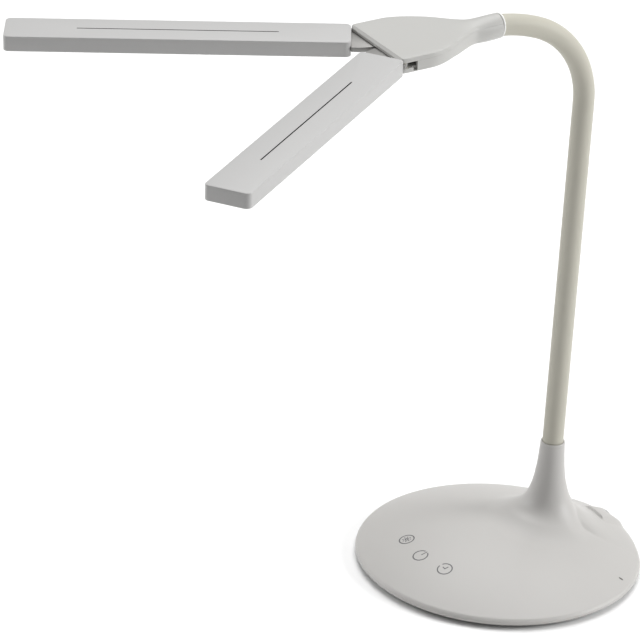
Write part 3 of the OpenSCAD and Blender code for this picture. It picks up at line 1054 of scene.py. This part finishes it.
    def _skin(self, share: float, low: float) -> Callable[[int], Vector]:
        """A ring between the pedestal's foot and the rim.

        Args:
            share: How far out it is, from 0 at the foot to 1 at the rim.
            low: Its depth below the outside.

        Returns:
            The place of each of its points by its number.
        """

        def place(k: int) -> Vector:
            """One point of the ring."""
            reach = self._reach(TAU * k / self.spokes, self.rim_r - self.rim_inset - low)
            return self._lift(self._spot(k, self.foot + (reach - self.foot) * share, 0.0), low)

        return place

    def _edge(self, inset: float, z: float) -> Callable[[int], Vector]:
        """A ring at the rim, with its inset and height in millimetres."""
        radius = self.rim_r - inset * MM
        return lambda k: self._spot(k, self._reach(TAU * k / self.spokes, radius), z * MM)

    def _pedestal(self, loft: Loft) -> None:
        """Draws the skin from inside the bore over the lip and down to the pedestal's foot."""
        loft.start(self._ring(self.bore_r, self.lip_z - self.bore_depth))
        loft.draw(self._ring(self.bore_r, self.lip_z - self.lip_round))
        middle, half = (self.bore_r + self.lip_r) / 2, (self.lip_r - self.bore_r) / 2
        for turn in range(1, 8):
            a = math.pi * (1 - turn / 7)
            z = self.lip_z - self.lip_round * (1 - math.sin(a))
            loft.draw(self._ring(middle + half * math.cos(a), z))
        z, distance = self.lip_z - self.lip_round, 0.0
        while distance <= self.shoulder:
            z -= self.level_step
            distance = self.flare_r(z / MM) * MM
            loft.draw(self._ring(max(distance, self.lip_r - 0.1 * MM), z))
        for step in range(1, self.foot_rings):
            share = step / self.foot_rings
            loft.draw(self._lifted(self.shoulder + (self.foot - self.shoulder) * share))

    def cover(self) -> None:
        """Builds the cover: down the pedestal, out over the dome, round the rim and back inside."""
        loft = Loft(self.spokes)
        self._pedestal(loft)
        for step in range(self.rings + 1):
            loft.draw(self._skin(step / self.rings, 0.0))
        for inset, z in self.rim:
            loft.draw(self._edge(inset, z))
        for step in range(self.inner_rings, -1, -1):
            loft.draw(self._skin(step / self.inner_rings, self.wall))
        for radius, z in (
            (self.socket_r, self.socket_top),
            (self.socket_r, self.socket_z),
            (self.core_r, self.socket_z),
            (self.core_r, self.lip_z - self.bore_depth - 0.2 * MM),
        ):
            loft.draw(self._ring(radius, z))
        loft.close()
        made = self.shop.piece("cover", loft.mesh, "base", Slot.BASE_SHELL, ["base_cover"], 40.0)
        cut(made, self._slug(self.recess, 0.0))
        cut(made, self._slug(self.socket_slot, -4 * MM))
        self._line_recess()
        self._cut_slit(made)

    @staticmethod
    def _slug(size: Sequence[float], start: float) -> bmesh.types.BMesh:
        """A bar along +Y with the outline of the power socket, made larger.

        Args:
            size: How much wider and how much taller it is than the socket, and its length.
            start: Where it starts, from the socket's mouth.

        Returns:
            The closed shape, in its place.
        """
        low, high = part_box("power_port")
        middle = (low + high) / 2
        made = rounded_bar(high.x - low.x + size[0], high.z - low.z + size[1], size[2])
        place = Matrix.Translation((middle.x, high.y + start, middle.z))
        turn = place @ Matrix.Rotation(-math.pi / 2, 4, "X")
        bmesh.ops.transform(made, matrix=turn, verts=made.verts)
        return made

    def _line_recess(self) -> None:
        """Builds the dark lining behind the recess, with a raised edge round the socket's hole."""
        lining = self._slug(self.lining, -2 * MM)
        face = max(lining.faces, key=lambda f: f.calc_center_median().y)
        bmesh.ops.inset_region(lining, faces=[face], thickness=0.5 * MM, use_even_offset=True)
        push(lining, [face], (0, -0.7 * MM, 0), pocket=True)
        made = self.shop.piece("inlet_lining", lining, "base", Extra.LINING, crease=30.0)
        cut(made, self._slug(self.lining_hole, -5 * MM))

    def _cut_slit(self, cover: bpy.types.Object) -> None:
        """Cuts the narrow slit in front of the rear's hood.

        Args:
            cover: The cover's piece.
        """
        box = rounded_bar(*self.slit)
        z = self.height(0.0, self.slit_y) - self.slit_sink
        lean = Matrix.Rotation(math.radians(self.slit_lean), 4, "X")
        place = Matrix.Translation((0.0, self.slit_y, z)) @ lean
        bmesh.ops.transform(box, matrix=place, verts=box.verts)
        cut(cover, box)

    def keys(self) -> None:
        """Prints the key symbols and sets the small pilot window."""
        for name, place, draw in (
            ("key_light_symbol", -1, self._sun),
            ("key_power_symbol", 0, self._power),
            ("key_timer_symbol", 1, self._clock),
        ):
            ink = bmesh.new()
            draw(ink)
            thicken(ink, self.ink_depth)
            turn = math.radians(place * self.key_step + self.key_turn)
            self._lay(ink, self.key_r * math.sin(turn), -self.key_r * math.cos(turn))
            self.shop.piece(name, ink, "base", Extra.INK, crease=30.0)
        window = bmesh.new()
        bmesh.ops.create_circle(window, cap_ends=True, segments=24, radius=self.pilot_r)
        bmesh.ops.scale(window, vec=self.pilot_shape, verts=window.verts)
        turn = Matrix.Rotation(math.radians(self.pilot_turn), 3, "Z")
        bmesh.ops.rotate(window, matrix=turn, verts=window.verts)
        thicken(window, self.ink_depth)
        self._lay(window, *self.pilot)
        self.shop.piece("pilot_window", window, "base", Extra.PILOT, crease=30.0)

    def _lay(self, ink: bmesh.types.BMesh, x: float, y: float) -> None:
        """Lays a flat drawing on the dome, just proud of it.

        Args:
            ink: The drawing.
            x: The place of its middle across the base.
            y: The place of its middle along the base.
        """
        for vert in ink.verts:
            proud = vert.co.z - self.ink_sink
            vert.co = self._lift(Vector((vert.co.x + x, vert.co.y + y, 0.0)), -proud)

    def _band(self, ink: bmesh.types.BMesh, radius: float, start: float, end: float) -> None:
        """Draws a ring or part of a ring.

        Args:
            ink: The drawing.
            radius: The radius of the line's middle.
            start: Where it starts, in degrees from +X.
            end: Where it ends.
        """
        a, b = math.radians(start), math.radians(end)
        line = [
            ink.verts.new((r * math.cos(a), r * math.sin(a), 0.0))
            for r in (radius - self.line / 2, radius + self.line / 2)
        ]
        bmesh.ops.spin(
            ink,
            geom=[*line, ink.edges.new(line)],
            cent=(0, 0, 0),
            axis=(0, 0, 1),
            angle=b - a,
            steps=max(6, int((end - start) / 5)),
            use_merge=end - start >= 360,
        )

    def _stroke(
        self, ink: bmesh.types.BMesh, start: Sequence[float], end: Sequence[float]
    ) -> None:
        """Draws a straight stroke.

        Args:
            ink: The drawing.
            start: Where it starts, in millimetres.
            end: Where it ends, in millimetres.
        """
        a, b = Vector(start) * MM, Vector(end) * MM
        along = b - a
        made = bmesh.ops.create_grid(ink, x_segments=3, y_segments=1, size=0.5)["verts"]
        shape = (
            Matrix.Translation(((a.x + b.x) / 2, (a.y + b.y) / 2, 0.0))
            @ Matrix.Rotation(math.atan2(along.y, along.x), 4, "Z")
            @ Matrix.Diagonal((along.length, self.stroke, 1.0, 1.0))
        )
        bmesh.ops.transform(ink, matrix=shape, verts=made)

    def _sun(self, ink: bmesh.types.BMesh) -> None:
        """Draws a ring with a small sun in it, for the brightness key.

        Args:
            ink: The drawing.
        """
        self._band(ink, self.symbol_r, 0, 360)
        self._band(ink, 0.95 * MM, 0, 360)
        for ray in range(8):
            a = TAU * ray / 8
            c, s = math.cos(a), math.sin(a)
            self._stroke(ink, (1.9 * c, 1.9 * s), (2.9 * c, 2.9 * s))

    def _power(self, ink: bmesh.types.BMesh) -> None:
        """Draws a ring broken at its top with a stroke through the gap, for the power key."""
        self._band(ink, self.symbol_r, 105, 435)
        self._stroke(ink, (0, 0.6), (0, 5.0))

    def _clock(self, ink: bmesh.types.BMesh) -> None:
        """Draws a ring broken at one side with two hands, for the timer key.

        Args:
            ink: The drawing.
        """
        self._band(ink, self.symbol_r, -168, 168)
        self._stroke(ink, (0, 2.7), (0, -0.1))
        self._stroke(ink, (0.2, 0), (-2.3, 0))


@dataclass
class Neck:
    """The bendable neck: one smooth sleeve in lengths that each cover one joint, fixed in the neck's present
    shape.
    """

    places: Places
    shop: Workshop
    radius: float = 6.75 * MM
    foot_z: float = 58.5 * MM
    low_r: float = 58.9 * MM
    high_r: float = 100.4 * MM
    sides: int = 64
    pitch: float = 2.5 * MM
    reach: float = 17 * MM
    leans: tuple[float, float, float] = (35.0, 70.0, 92.1)

    def __post_init__(self) -> None:
        """Reads where the bend starts and works out the leans in radians."""
        self.start = self.places.flex[3]
        self.turns = tuple(math.radians(lean) for lean in self.leans)

    def _line(self, s: float) -> tuple[Vector, float]:
        """A point of the middle line and its lean from upright.

        Args:
            s: The distance from the start of the bend, less than 0 on the straight part.

        Returns:
            The point, and the angle that the neck leans forward there.
        """
        if s <= 0:
            return Vector((0.0, self.start.y, self.start.z + s)), 0.0
        bend = self.low_r * self.turns[1]
        if s <= bend:
            a = s / self.low_r
            y = self.start.y - self.low_r * (1 - math.cos(a))
            return Vector((0.0, y, self.start.z + self.low_r * math.sin(a))), a
        from_point, from_angle = self._line(bend)
        a = from_angle + (s - bend) / self.high_r
        y = from_point.y - self.high_r * (math.cos(from_angle) - math.cos(a))
        z = from_point.z + self.high_r * (math.sin(a) - math.sin(from_angle))
        return Vector((0.0, y, z)), a

    def build(self) -> None:
        """Builds six lengths of sleeve, each covering one of the neck's joints; they ride on no body."""
        joints = [p.z - self.start.z for p in self.places.flex[:4]]
        joints += [self.low_r * a for a in self.turns[:2]]
        last = self.low_r * self.turns[1] + self.high_r * (self.turns[2] - self.turns[1])
        breaks = [self.foot_z - self.start.z]
        breaks += [(a + b) / 2 for a, b in zip(joints, joints[1:], strict=False)]
        breaks += [last]
        bodies = ["base", *(f"neck_{i}" for i in range(1, 6)), "head"]
        nodes = [[f"neck_sleeve_{i}"] for i in range(6)]
        nodes[-1].append("neck_sleeve_6")
        for i, joint in enumerate(joints):
            made = self._length(f"sleeve_{i + 1}", breaks[i], breaks[i + 1], nodes[i])
            low, _ = self._line(joint - self.reach)
            high, _ = self._line(joint + self.reach)
            bodies[i + 1]
            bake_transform(made)
            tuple(low)
            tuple(high)

    def _length(self, name: str, low: float, high: float, nodes: list[str]) -> bpy.types.Object:
        """Builds one length of sleeve.

        Args:
            name: The piece's name.
            low: Where it starts, as a distance along the middle line.
            high: Where it ends.
            nodes: The CAD nodes that it stands for.

        Returns:
            The piece, which rides on no body.
        """
        loft = Loft(self.sides)
        steps = max(2, round((high - low) / self.pitch))
        stations = [low + (high - low) * i / steps for i in range(steps + 1)]
        loft.start(self._ring(stations[0]))
        for s in stations[1:]:
            loft.draw(self._ring(s))
        wrap = [(*self._around(k), s) for s in stations for k in range(self.sides)]
        loft.cap()
        made = self.shop.piece(name, loft.mesh, None, Slot.NECK_SLEEVE, nodes, 50.0)
        wrap_attribute(made, wrap)
        return made

    def _around(self, k: int) -> tuple[float, float]:
        """Point number k of the sleeve's round section: its place across and to the front."""
        a = TAU * k / self.sides
        return self.radius * math.cos(a), self.radius * math.sin(a)

    def _ring(self, s: float) -> Callable[[int], Vector]:
        """Works out a ring of the sleeve's outside.

        Args:
            s: The distance along the middle line.

        Returns:
            The place of each of its points by its number.
        """
        middle, lean = self._line(s)
        front = Vector((0.0, -math.cos(lean), -math.sin(lean)))

        def place(k: int) -> Vector:
            """One point of the ring."""
            x, forward = self._around(k)
            return middle + Vector((x, 0.0, 0.0)) + forward * front

        return place


@dataclass
class Head:
    """The head: a round snout that widens into a flat plate with the two hinge corners.

    Sizes are millimetres, forwards from the neck's end. The slot's boxes reach past the shell
    by "over". "widen", "flatten" and "thin" say where a change starts and how far it takes,
    "belly" and "cheeks" how much the snout swells and how far that goes, and "full" where the
    section starts to follow the plate's width and by what share.
    """

    places: Places
    shop: Workshop
    length: float = 87.0
    half_width: float = 29.9
    top: float = 6.6
    low: float = -2.9
    snout_r: float = 7.7
    corner_r: float = 3.3
    edge: float = 0.55
    chamfer: float = 1.7
    chamfer_slope: float = 0.75
    seam: float = 0.05
    lid_z: float = 3.65
    slot_low: float = 0.05
    slot_back: float = 15.8
    side_slot: float = 11.7
    notch_z: float = -0.75
    notch: tuple[float, float] = (4.2, 2.8)
    notch_over: float = 0.5
    rib: float = 2.1
    over: float = 5.0
    full: tuple[float, float] = (20.0, 0.98)
    waist: float = 1.2
    widen: tuple[float, float] = (10.0, 56.0)
    flatten: tuple[float, float] = (8.0, 34.0)
    level: float = 26.0
    thin: tuple[float, float] = (9.0, 40.0)
    belly: tuple[float, float] = (0.35, 24.0)
    cheeks: tuple[float, float] = (0.9, 30.0)
    ring: tuple[float, float, float, float] = (0.62, 6.86, 7.85, 0.3)
    ring_lean: float = 87.0

    def width(self, f: float) -> float:
        """Works out half the width.

        Args:
            f: The distance in front of the neck's end.

        Returns:
            Half the width there, with the round corners at the front.
        """
        pin = self.length - self.corner_r
        if f > pin:
            around = math.sqrt(max(self.corner_r**2 - (f - pin) ** 2, 0.0))
            return self.half_width - self.corner_r + around
        start, run = self.widen
        narrow = self.snout_r - self.waist
        return narrow + (self.half_width - narrow) * smooth((f - start) / run)

    def _levels(self, f: float) -> tuple[float, float]:
        """The heights of the top and of the underside.

        Args:
            f: The distance in front of the neck's end.

        Returns:
            The top, which drops in a chamfer at the front edge, and the underside.
        """
        top = self.snout_r + (self.top - self.snout_r) * smooth(f / self.level)
        top -= self.chamfer_slope * max(f - self.length + self.chamfer, 0.0)
        sag, run = self.belly
        low = -self.snout_r - sag * math.sin(math.pi * min(f / run, 1.0))
        low += (self.low + self.snout_r) * smooth((f - self.thin[0]) / self.thin[1])
        return top, low

    def _section(self, f: float) -> list[Vector]:
        """Works out the outline of the head across its length.

        Args:
            f: The distance in front of the neck's end.

        Returns:
            Its 64 points, round from +X over the top: round at the snout and a box with soft
            edges at the plate.
        """
        flat = smooth((f - self.flatten[0]) / self.flatten[1])
        top, low = self._levels(f)
        half, middle, tall = self.width(f), (top + low) / 2, (top - low) / 2
        swell, run = self.cheeks
        blunt = self.snout_r + swell * math.sin(math.pi * min(f / run, 1.0))
        full_from, share = self.full
        wide = max(blunt, half * share if f > full_from else blunt)
        points = []
        for sx, sz, rising in ((1, 1, True), (-1, 1, False), (-1, -1, True), (1, -1, False)):
            for i in range(16):
                j = i if rising else 15 - i
                a = math.radians(90 * (j + 0.5) / 16)
                soft = Vector((wide * math.cos(a), tall * math.sin(a)))
                x, z = soft.lerp(Vector(self._box_corner(j, half, tall)), flat)
                points.append(Vector((sx * x, -f, middle + sz * z)))
        return points

    def _box_corner(self, j: int, half: float, tall: float) -> tuple[float, float]:
        """Works out a quarter of a rounded box: up its side, round its edge, in over its top.

        Args:
            j: The number of the point, from 0 to 15.
            half: Half the box's width.
            tall: Half its height.

        Returns:
            The point's place across and up.
        """
        r = self.edge
        if j < 4:
            return half, (tall - r) * (j + 0.5) / 4.5
        if j < 9:
            a = math.radians(90 * (j - 4) / 4)
            return half - r * (1 - math.cos(a)), tall - r * (1 - math.sin(a))
        return (half - r) * (15.5 - j) / 7.5, tall

    def build(self) -> None:
        """Builds the two shells that close round the slot of the hinge leaves."""
        pin = self.length - self.corner_r
        even = [5 + 1.5 * i for i in range(int((pin - 5) / 1.5) + 1)]
        corner = [pin + self.corner_r * math.sin(math.radians(10 * i)) for i in range(1, 10)]
        stations = [0.67, 1.2, 2.0, 3.5, *(f for f in even if f < pin), *corner]
        stations = sorted({*stations, self.length - self.chamfer})
        sections = [self._section(f) for f in stations]
        for name, node, above in (
            ("head_lid", "head_top", True),
            ("head_tray", "head_bottom", False),
        ):
            loft = Loft(len(sections[0]))
            loft.start(sections[0].__getitem__)
            for points in sections[1:]:
                loft.draw(points.__getitem__)
            loft.cap()
            mesh = loft.mesh
            bmesh.ops.scale(mesh, vec=(MM, MM, MM), verts=mesh.verts)
            seam = self.lid_z + (self.seam if above else -self.seam)
            bmesh.ops.bisect_plane(
                mesh,
                geom=[*mesh.verts, *mesh.edges, *mesh.faces],
                plane_co=(0, 0, seam * MM),
                plane_no=(0, 0, -1 if above else 1),
                clear_outer=True,
            )
            bmesh.ops.holes_fill(mesh, edges=[e for e in mesh.edges if e.is_boundary])
            head = self.places.head
            made = self.shop.piece(name, mesh, "head", Slot.HEAD_SHELL, [node], 28.0, head)
            self._slots(made)

    def _slots(self, shell: bpy.types.Object) -> None:
        """Cuts the slot that the hinge leaves run in, open at the front and at both sides.

        Args:
            shell: The piece that it is cut from.
        """
        front, tall = -self.length, self.lid_z - self.slot_low
        level = (self.slot_low + self.lid_z) / 2
        boxes = [
            ((2 * half, self.over + depth, tall), (0.0, front + (depth - self.over) / 2, level))
            for half, depth in (
                (self.half_width + self.over, self.side_slot),
                (self.half_width - self.rib, self.slot_back),
            )
        ]
        wide, long = self.notch
        size = (wide, long, 2 * (self.slot_low + self.notch_over - self.notch_z))
        spot = front + self.side_slot - long / 2
        boxes += [(size, (side * self.half_width, spot, self.notch_z)) for side in (-1, 1)]
        for size, middle in boxes:
            box = block(size, middle)
            place = self.places.head @ Matrix.Scale(MM, 4)
            bmesh.ops.transform(box, matrix=place, verts=box.verts)
            cut(shell, box)

    def ferrule(self) -> None:
        """Builds the polished ring between the neck and the head."""
        ring = bmesh.new()
        half, inner, outer, soft = self.ring
        corners = [(inner, -half), (outer - soft, -half), (outer, -half + soft)]
        corners += [(outer, half - soft), (outer - soft, half), (inner, half)]
        verts = [ring.verts.new((r * MM, 0.0, z * MM)) for r, z in corners]
        edges = [ring.edges.new(pair) for pair in zip(verts, verts[1:] + verts[:1], strict=True)]
        bmesh.ops.spin(
            ring,
            geom=verts + edges,
            cent=(0, 0, 0),
            axis=(0, 0, 1),
            angle=TAU,
            steps=72,
            use_merge=True,
        )
        bmesh.ops.remove_doubles(ring, verts=ring.verts, dist=0.001 * MM)
        lean = Matrix.Rotation(math.radians(self.ring_lean), 4, "X")
        place = Matrix.Translation(self.places.ring) @ lean
        self.shop.piece("neck_ring", ring, "head", Slot.FERRULE, ["neck_ferrule"], 30.0, place)


@dataclass
class Bar:
    """One light bar with its housing, its diffuser and the hinge leaf that carries it.

    Sizes are millimetres, forwards from the hinge pin and up from the head's middle plane.
    """

    places: Places
    shop: Workshop
    side: int
    length: float = 207.5
    width: float = 29.0
    top: float = 6.6
    tall: float = 9.5
    wall: float = 1.6
    end_wall: float = 2.0
    gap: float = 3.6
    middle: float = 11.5
    corner_r: float = 3.5
    edge_r: float = 0.7
    slit_share: float = 0.583
    slit_w: float = 0.9
    slit_depth: float = 3.0
    slit_sink: float = 1.0
    roof: float = 1.8
    lens_t: float = 1.5
    lens_gap: float = 0.1
    lens_edge: float = 0.3
    leaf_edge: float = 0.3

    def __post_init__(self) -> None:
        """Names the side and reads where the bar lies."""
        self.label = "left" if self.side < 0 else "right"
        self.body = f"arm_{self.label}"
        self.at = self.places.bar(self.side)

    def _block(
        self, width: float, length: float, low: float, tall: float, corner: float
    ) -> bmesh.types.BMesh:
        """Makes a block with round corners in plan, its near end at Y = 0, in millimetres.

        Args:
            width: Its width.
            length: Its length.
            low: The height of its underside.
            tall: How tall it is.
            corner: The radius of its corners.

        Returns:
            The block.
        """
        mesh = block((width, length, tall), (0, -length / 2, low + tall / 2))
        posts = [e for e in mesh.edges if abs(e.verts[0].co.z - e.verts[1].co.z) > tall / 2]
        self._bevel(mesh, posts, corner, 8)
        return mesh

    @staticmethod
    def _bevel(
        mesh: bmesh.types.BMesh, edges: list[bmesh.types.BMEdge], offset: float, segments: int
    ) -> None:
        """Rounds edges.

        Args:
            mesh: The mesh.
            edges: The edges that are rounded.
            offset: How far the rounding reaches.
            segments: How many faces it has.
        """
        bmesh.ops.bevel(
            mesh,
            geom=edges,
            offset=offset,
            segments=segments,
            profile=0.5,
            affect="EDGES",
            material=-1,
            clamp_overlap=True,
        )

    def _soften(self, mesh: bmesh.types.BMesh, z: float, offset: float, segments: int) -> None:
        """Rounds the edges that lie in one level.

        Args:
            mesh: The mesh.
            z: The level.
            offset: How far the rounding reaches.
            segments: How many faces it has.
        """
        rim = [
            e
            for e in mesh.edges
            if all(abs(v.co.z - z) < 1e-4 for v in e.verts) and e.calc_face_angle(0.0) > 0.5
        ]
        self._bevel(mesh, rim, offset, segments)

    def _set(self, mesh: bmesh.types.BMesh, start: float) -> Matrix:
        """Scales a mesh to metres.

        Args:
            mesh: The mesh, in millimetres.
            start: How far its near end is from the hinge pin.

        Returns:
            Where it goes on the bar.
        """
        bmesh.ops.scale(mesh, vec=(MM, MM, MM), verts=mesh.verts)
        return self.at @ Matrix.Translation((-self.side * self.middle * MM, -start * MM, 0.0))

    def _piece(
        self, name: str, mesh: bmesh.types.BMesh, slot: Slot, node: str, at: Matrix | None = None
    ) -> bpy.types.Object:
        """Makes a piece of this bar.

        Args:
            name: The piece's name without its side.
            mesh: Its mesh, which is used up.
            slot: Its finish.
            node: The CAD node that it replaces, without its side.
            at: Where the mesh goes, if it was made elsewhere.

        Returns:
            The new object.
        """
        name, nodes = f"{name}_{self.label}", [f"{node}_{self.label}"]
        return self.shop.piece(name, mesh, self.body, slot, nodes, 30.0, at)

    def housing(self) -> None:
        """Builds the housing: a shallow tray upside down, with the slit along its top, whose faces are painted
        near-black as shade.
        """
        low = self.top - self.tall
        mesh = self._block(self.width, self.length, low, self.tall, self.corner_r)
        self._soften(mesh, self.top, self.edge_r, 4)
        floor = min(mesh.faces, key=lambda f: f.calc_center_median().z)
        bmesh.ops.inset_region(mesh, faces=[floor], thickness=self.wall, use_even_offset=True)
        push(mesh, [floor], (0, 0, self.tall - self.roof), pocket=True)
        at = self._set(mesh, self.gap)
        made = self._piece("housing_shell", mesh, Slot.BAR_HOUSING, "housing", at)
        size = (self.length * self.slit_share, self.slit_w, self.slit_depth)
        slit = rounded_bar(*(Vector(size) * MM))
        turn = Matrix.Rotation(math.pi / 2, 4, "Z")
        foot = (-self.side * self.middle, -self.gap - self.length / 2, self.top - self.slit_sink)
        spot = Matrix.Translation(Vector(foot) * MM)
        bmesh.ops.transform(slit, matrix=self.at @ spot @ turn, verts=slit.verts)
        # The slit's cut faces take a near-black finish: painted shade inside the groove.
        cut(made, slit, self.shop.finishes.of(Extra.SLIT_SHADE))

    def diffuser(self) -> None:
        """Builds the milky diffuser, flush with the housing's lower edge."""
        low = self.top - self.tall
        side, end = self.wall + self.lens_gap, self.end_wall + self.lens_gap
        width, length = self.width - 2 * side, self.length - 2 * end
        mesh = self._block(width, length, low, self.lens_t, self.corner_r - side)
        self._soften(mesh, low, self.lens_edge, 3)
        at = self._set(mesh, self.gap + end)
        wrap = [v.co.copy() for v in mesh.verts]
        made = self._piece("lens", mesh, Slot.DIFFUSER, "diffuser", at)
        wrap_attribute(made, wrap)

    def leaf(self) -> None:
        """Builds the hinge leaf with softened edges from the CAD leaf's own outline."""
        node = frame["nodes"][f"hinge_leaf_{self.label}"]
        mesh = bmesh.new()
        mesh.from_mesh(node.data)
        bmesh.ops.remove_doubles(mesh, verts=mesh.verts, dist=0.002 * MM)
        bmesh.ops.dissolve_limit(
            mesh, angle_limit=math.radians(1.0), verts=mesh.verts, edges=mesh.edges
        )
        up = self.places.head.to_3x3() @ Vector((0, 0, 1))
        sharp = [e for e in mesh.edges if e.calc_face_angle(0.0) > 1.0]
        ways = [(e.verts[0].co - e.verts[1].co).normalized() for e in sharp]
        rim = [e for e, way in zip(sharp, ways, strict=True) if abs(way.dot(up)) < 0.5]
        self._bevel(mesh, rim, self.leaf_edge * MM, 2)
        self._piece("leaf", mesh, Slot.HINGE_LEAF, "hinge_leaf")


# Studio


@dataclass(frozen=True)
class Softbox:
    """One soft light."""

    name: str
    place: tuple[float, float, float]
    aim: tuple[float, float, float]
    size: float
    watts: float

    def build(self) -> None:
        """Adds the light to the scene."""
        lamp = bpy.data.lights.new(self.name, "AREA")
        lamp.shape = "DISK"
        lamp.size = self.size
        lamp.energy = self.watts
        holder = bpy.data.objects.new(self.name, lamp)
        holder.location = self.place
        way = Vector(self.aim) - Vector(self.place)
        holder.rotation_euler = way.to_track_quat("-Z", "Y").to_euler()
        bpy.context.scene.collection.objects.link(holder)


@dataclass
class Studio:
    """The floor, the lights and the camera."""

    camera_place: tuple[float, float, float] = (2.04035, -1.40785, 1.35597)
    camera_azimuth: float = 58.26
    camera_drop: float = 25.73
    camera_roll: float = 3.64
    focal_pixels: float = 4363.0
    picture_pixels: float = 640.0
    sky_strength: float = 0.3

    def floor(self) -> None:
        """Lays a plain pale floor under the lamp."""
        mesh = bmesh.new()
        bmesh.ops.create_grid(mesh, x_segments=2, y_segments=2, size=6.0)
        data = bpy.data.meshes.new("floor")
        mesh.to_mesh(data)
        mesh.free()
        r = Recipe("floor")
        tone = r.noise(r.place(), 3.0, 2.0)
        colour = r.blend(tone, (0.9, 0.9, 0.9, 1.0), (0.93, 0.93, 0.93, 1.0))
        data.materials.append(
            r.finish({"Base Color": colour, "Roughness": 0.7, "Specular IOR Level": 0.2})
        )
        made = bpy.data.objects.new("floor", data)
        bpy.context.scene.collection.objects.link(made)

    def light(self) -> None:
        """Sets a pale surround and the softboxes."""
        world = bpy.data.worlds.new("studio")
        bpy.context.scene.world = world
        world.use_nodes = True
        sky = world.node_tree.nodes["Background"]
        sky.inputs["Color"].default_value = (1.0, 1.0, 1.0, 1.0)
        sky.inputs["Strength"].default_value = self.sky_strength
        bpy.context.scene.view_settings.view_transform = "Standard"
        aim = (0.0, -0.05, 0.2)
        for box in (
            Softbox("softbox_right", (1.5, 2.2, 1.3), aim, 1.4, 56.0),
            Softbox("softbox_top", (-0.9, 0.6, 3.0), aim, 3.0, 84.0),
            Softbox("softbox_left", (-1.8, -1.6, 1.0), aim, 1.2, 18.0),
        ):
            box.build()

    def camera(self) -> None:
        """Places the camera at the photograph's viewing angle."""
        data = bpy.data.cameras.new("camera")
        data.sensor_width = 36.0
        data.lens = data.sensor_width * self.focal_pixels / self.picture_pixels
        data.clip_start, data.clip_end = 0.05, 30.0
        holder = bpy.data.objects.new("camera", data)
        turn = (
            Matrix.Rotation(math.radians(self.camera_azimuth), 4, "Z")
            @ Matrix.Rotation(math.radians(90 - self.camera_drop), 4, "X")
            @ Matrix.Rotation(math.radians(self.camera_roll), 4, "Z")
        )
        holder.matrix_world = Matrix.Translation(self.camera_place) @ turn
        bpy.context.scene.collection.objects.link(holder)
        bpy.context.scene.camera = holder


def main() -> None:
    """Builds the lamp's pieces in order and then the studio."""
    logging.basicConfig(level=logging.INFO, format="%(name)s %(message)s")
    finishes = Finishes()
    finishes.dress_nodes()
    shop = Workshop(finishes)
    places = Places.read()
    base = Base(places, shop)
    base.cover()
    base.keys()
    Neck(places, shop).build()
    head = Head(places, shop)
    head.build()
    head.ferrule()
    for side in (-1, 1):
        bar = Bar(places, shop, side)
        bar.housing()
        bar.diffuser()
        bar.leaf()
    studio = Studio()
    studio.floor()
    studio.light()
    studio.camera()
    log.info("%d pieces made", len(shop.pieces))


if __name__ == "__main__":
    main()
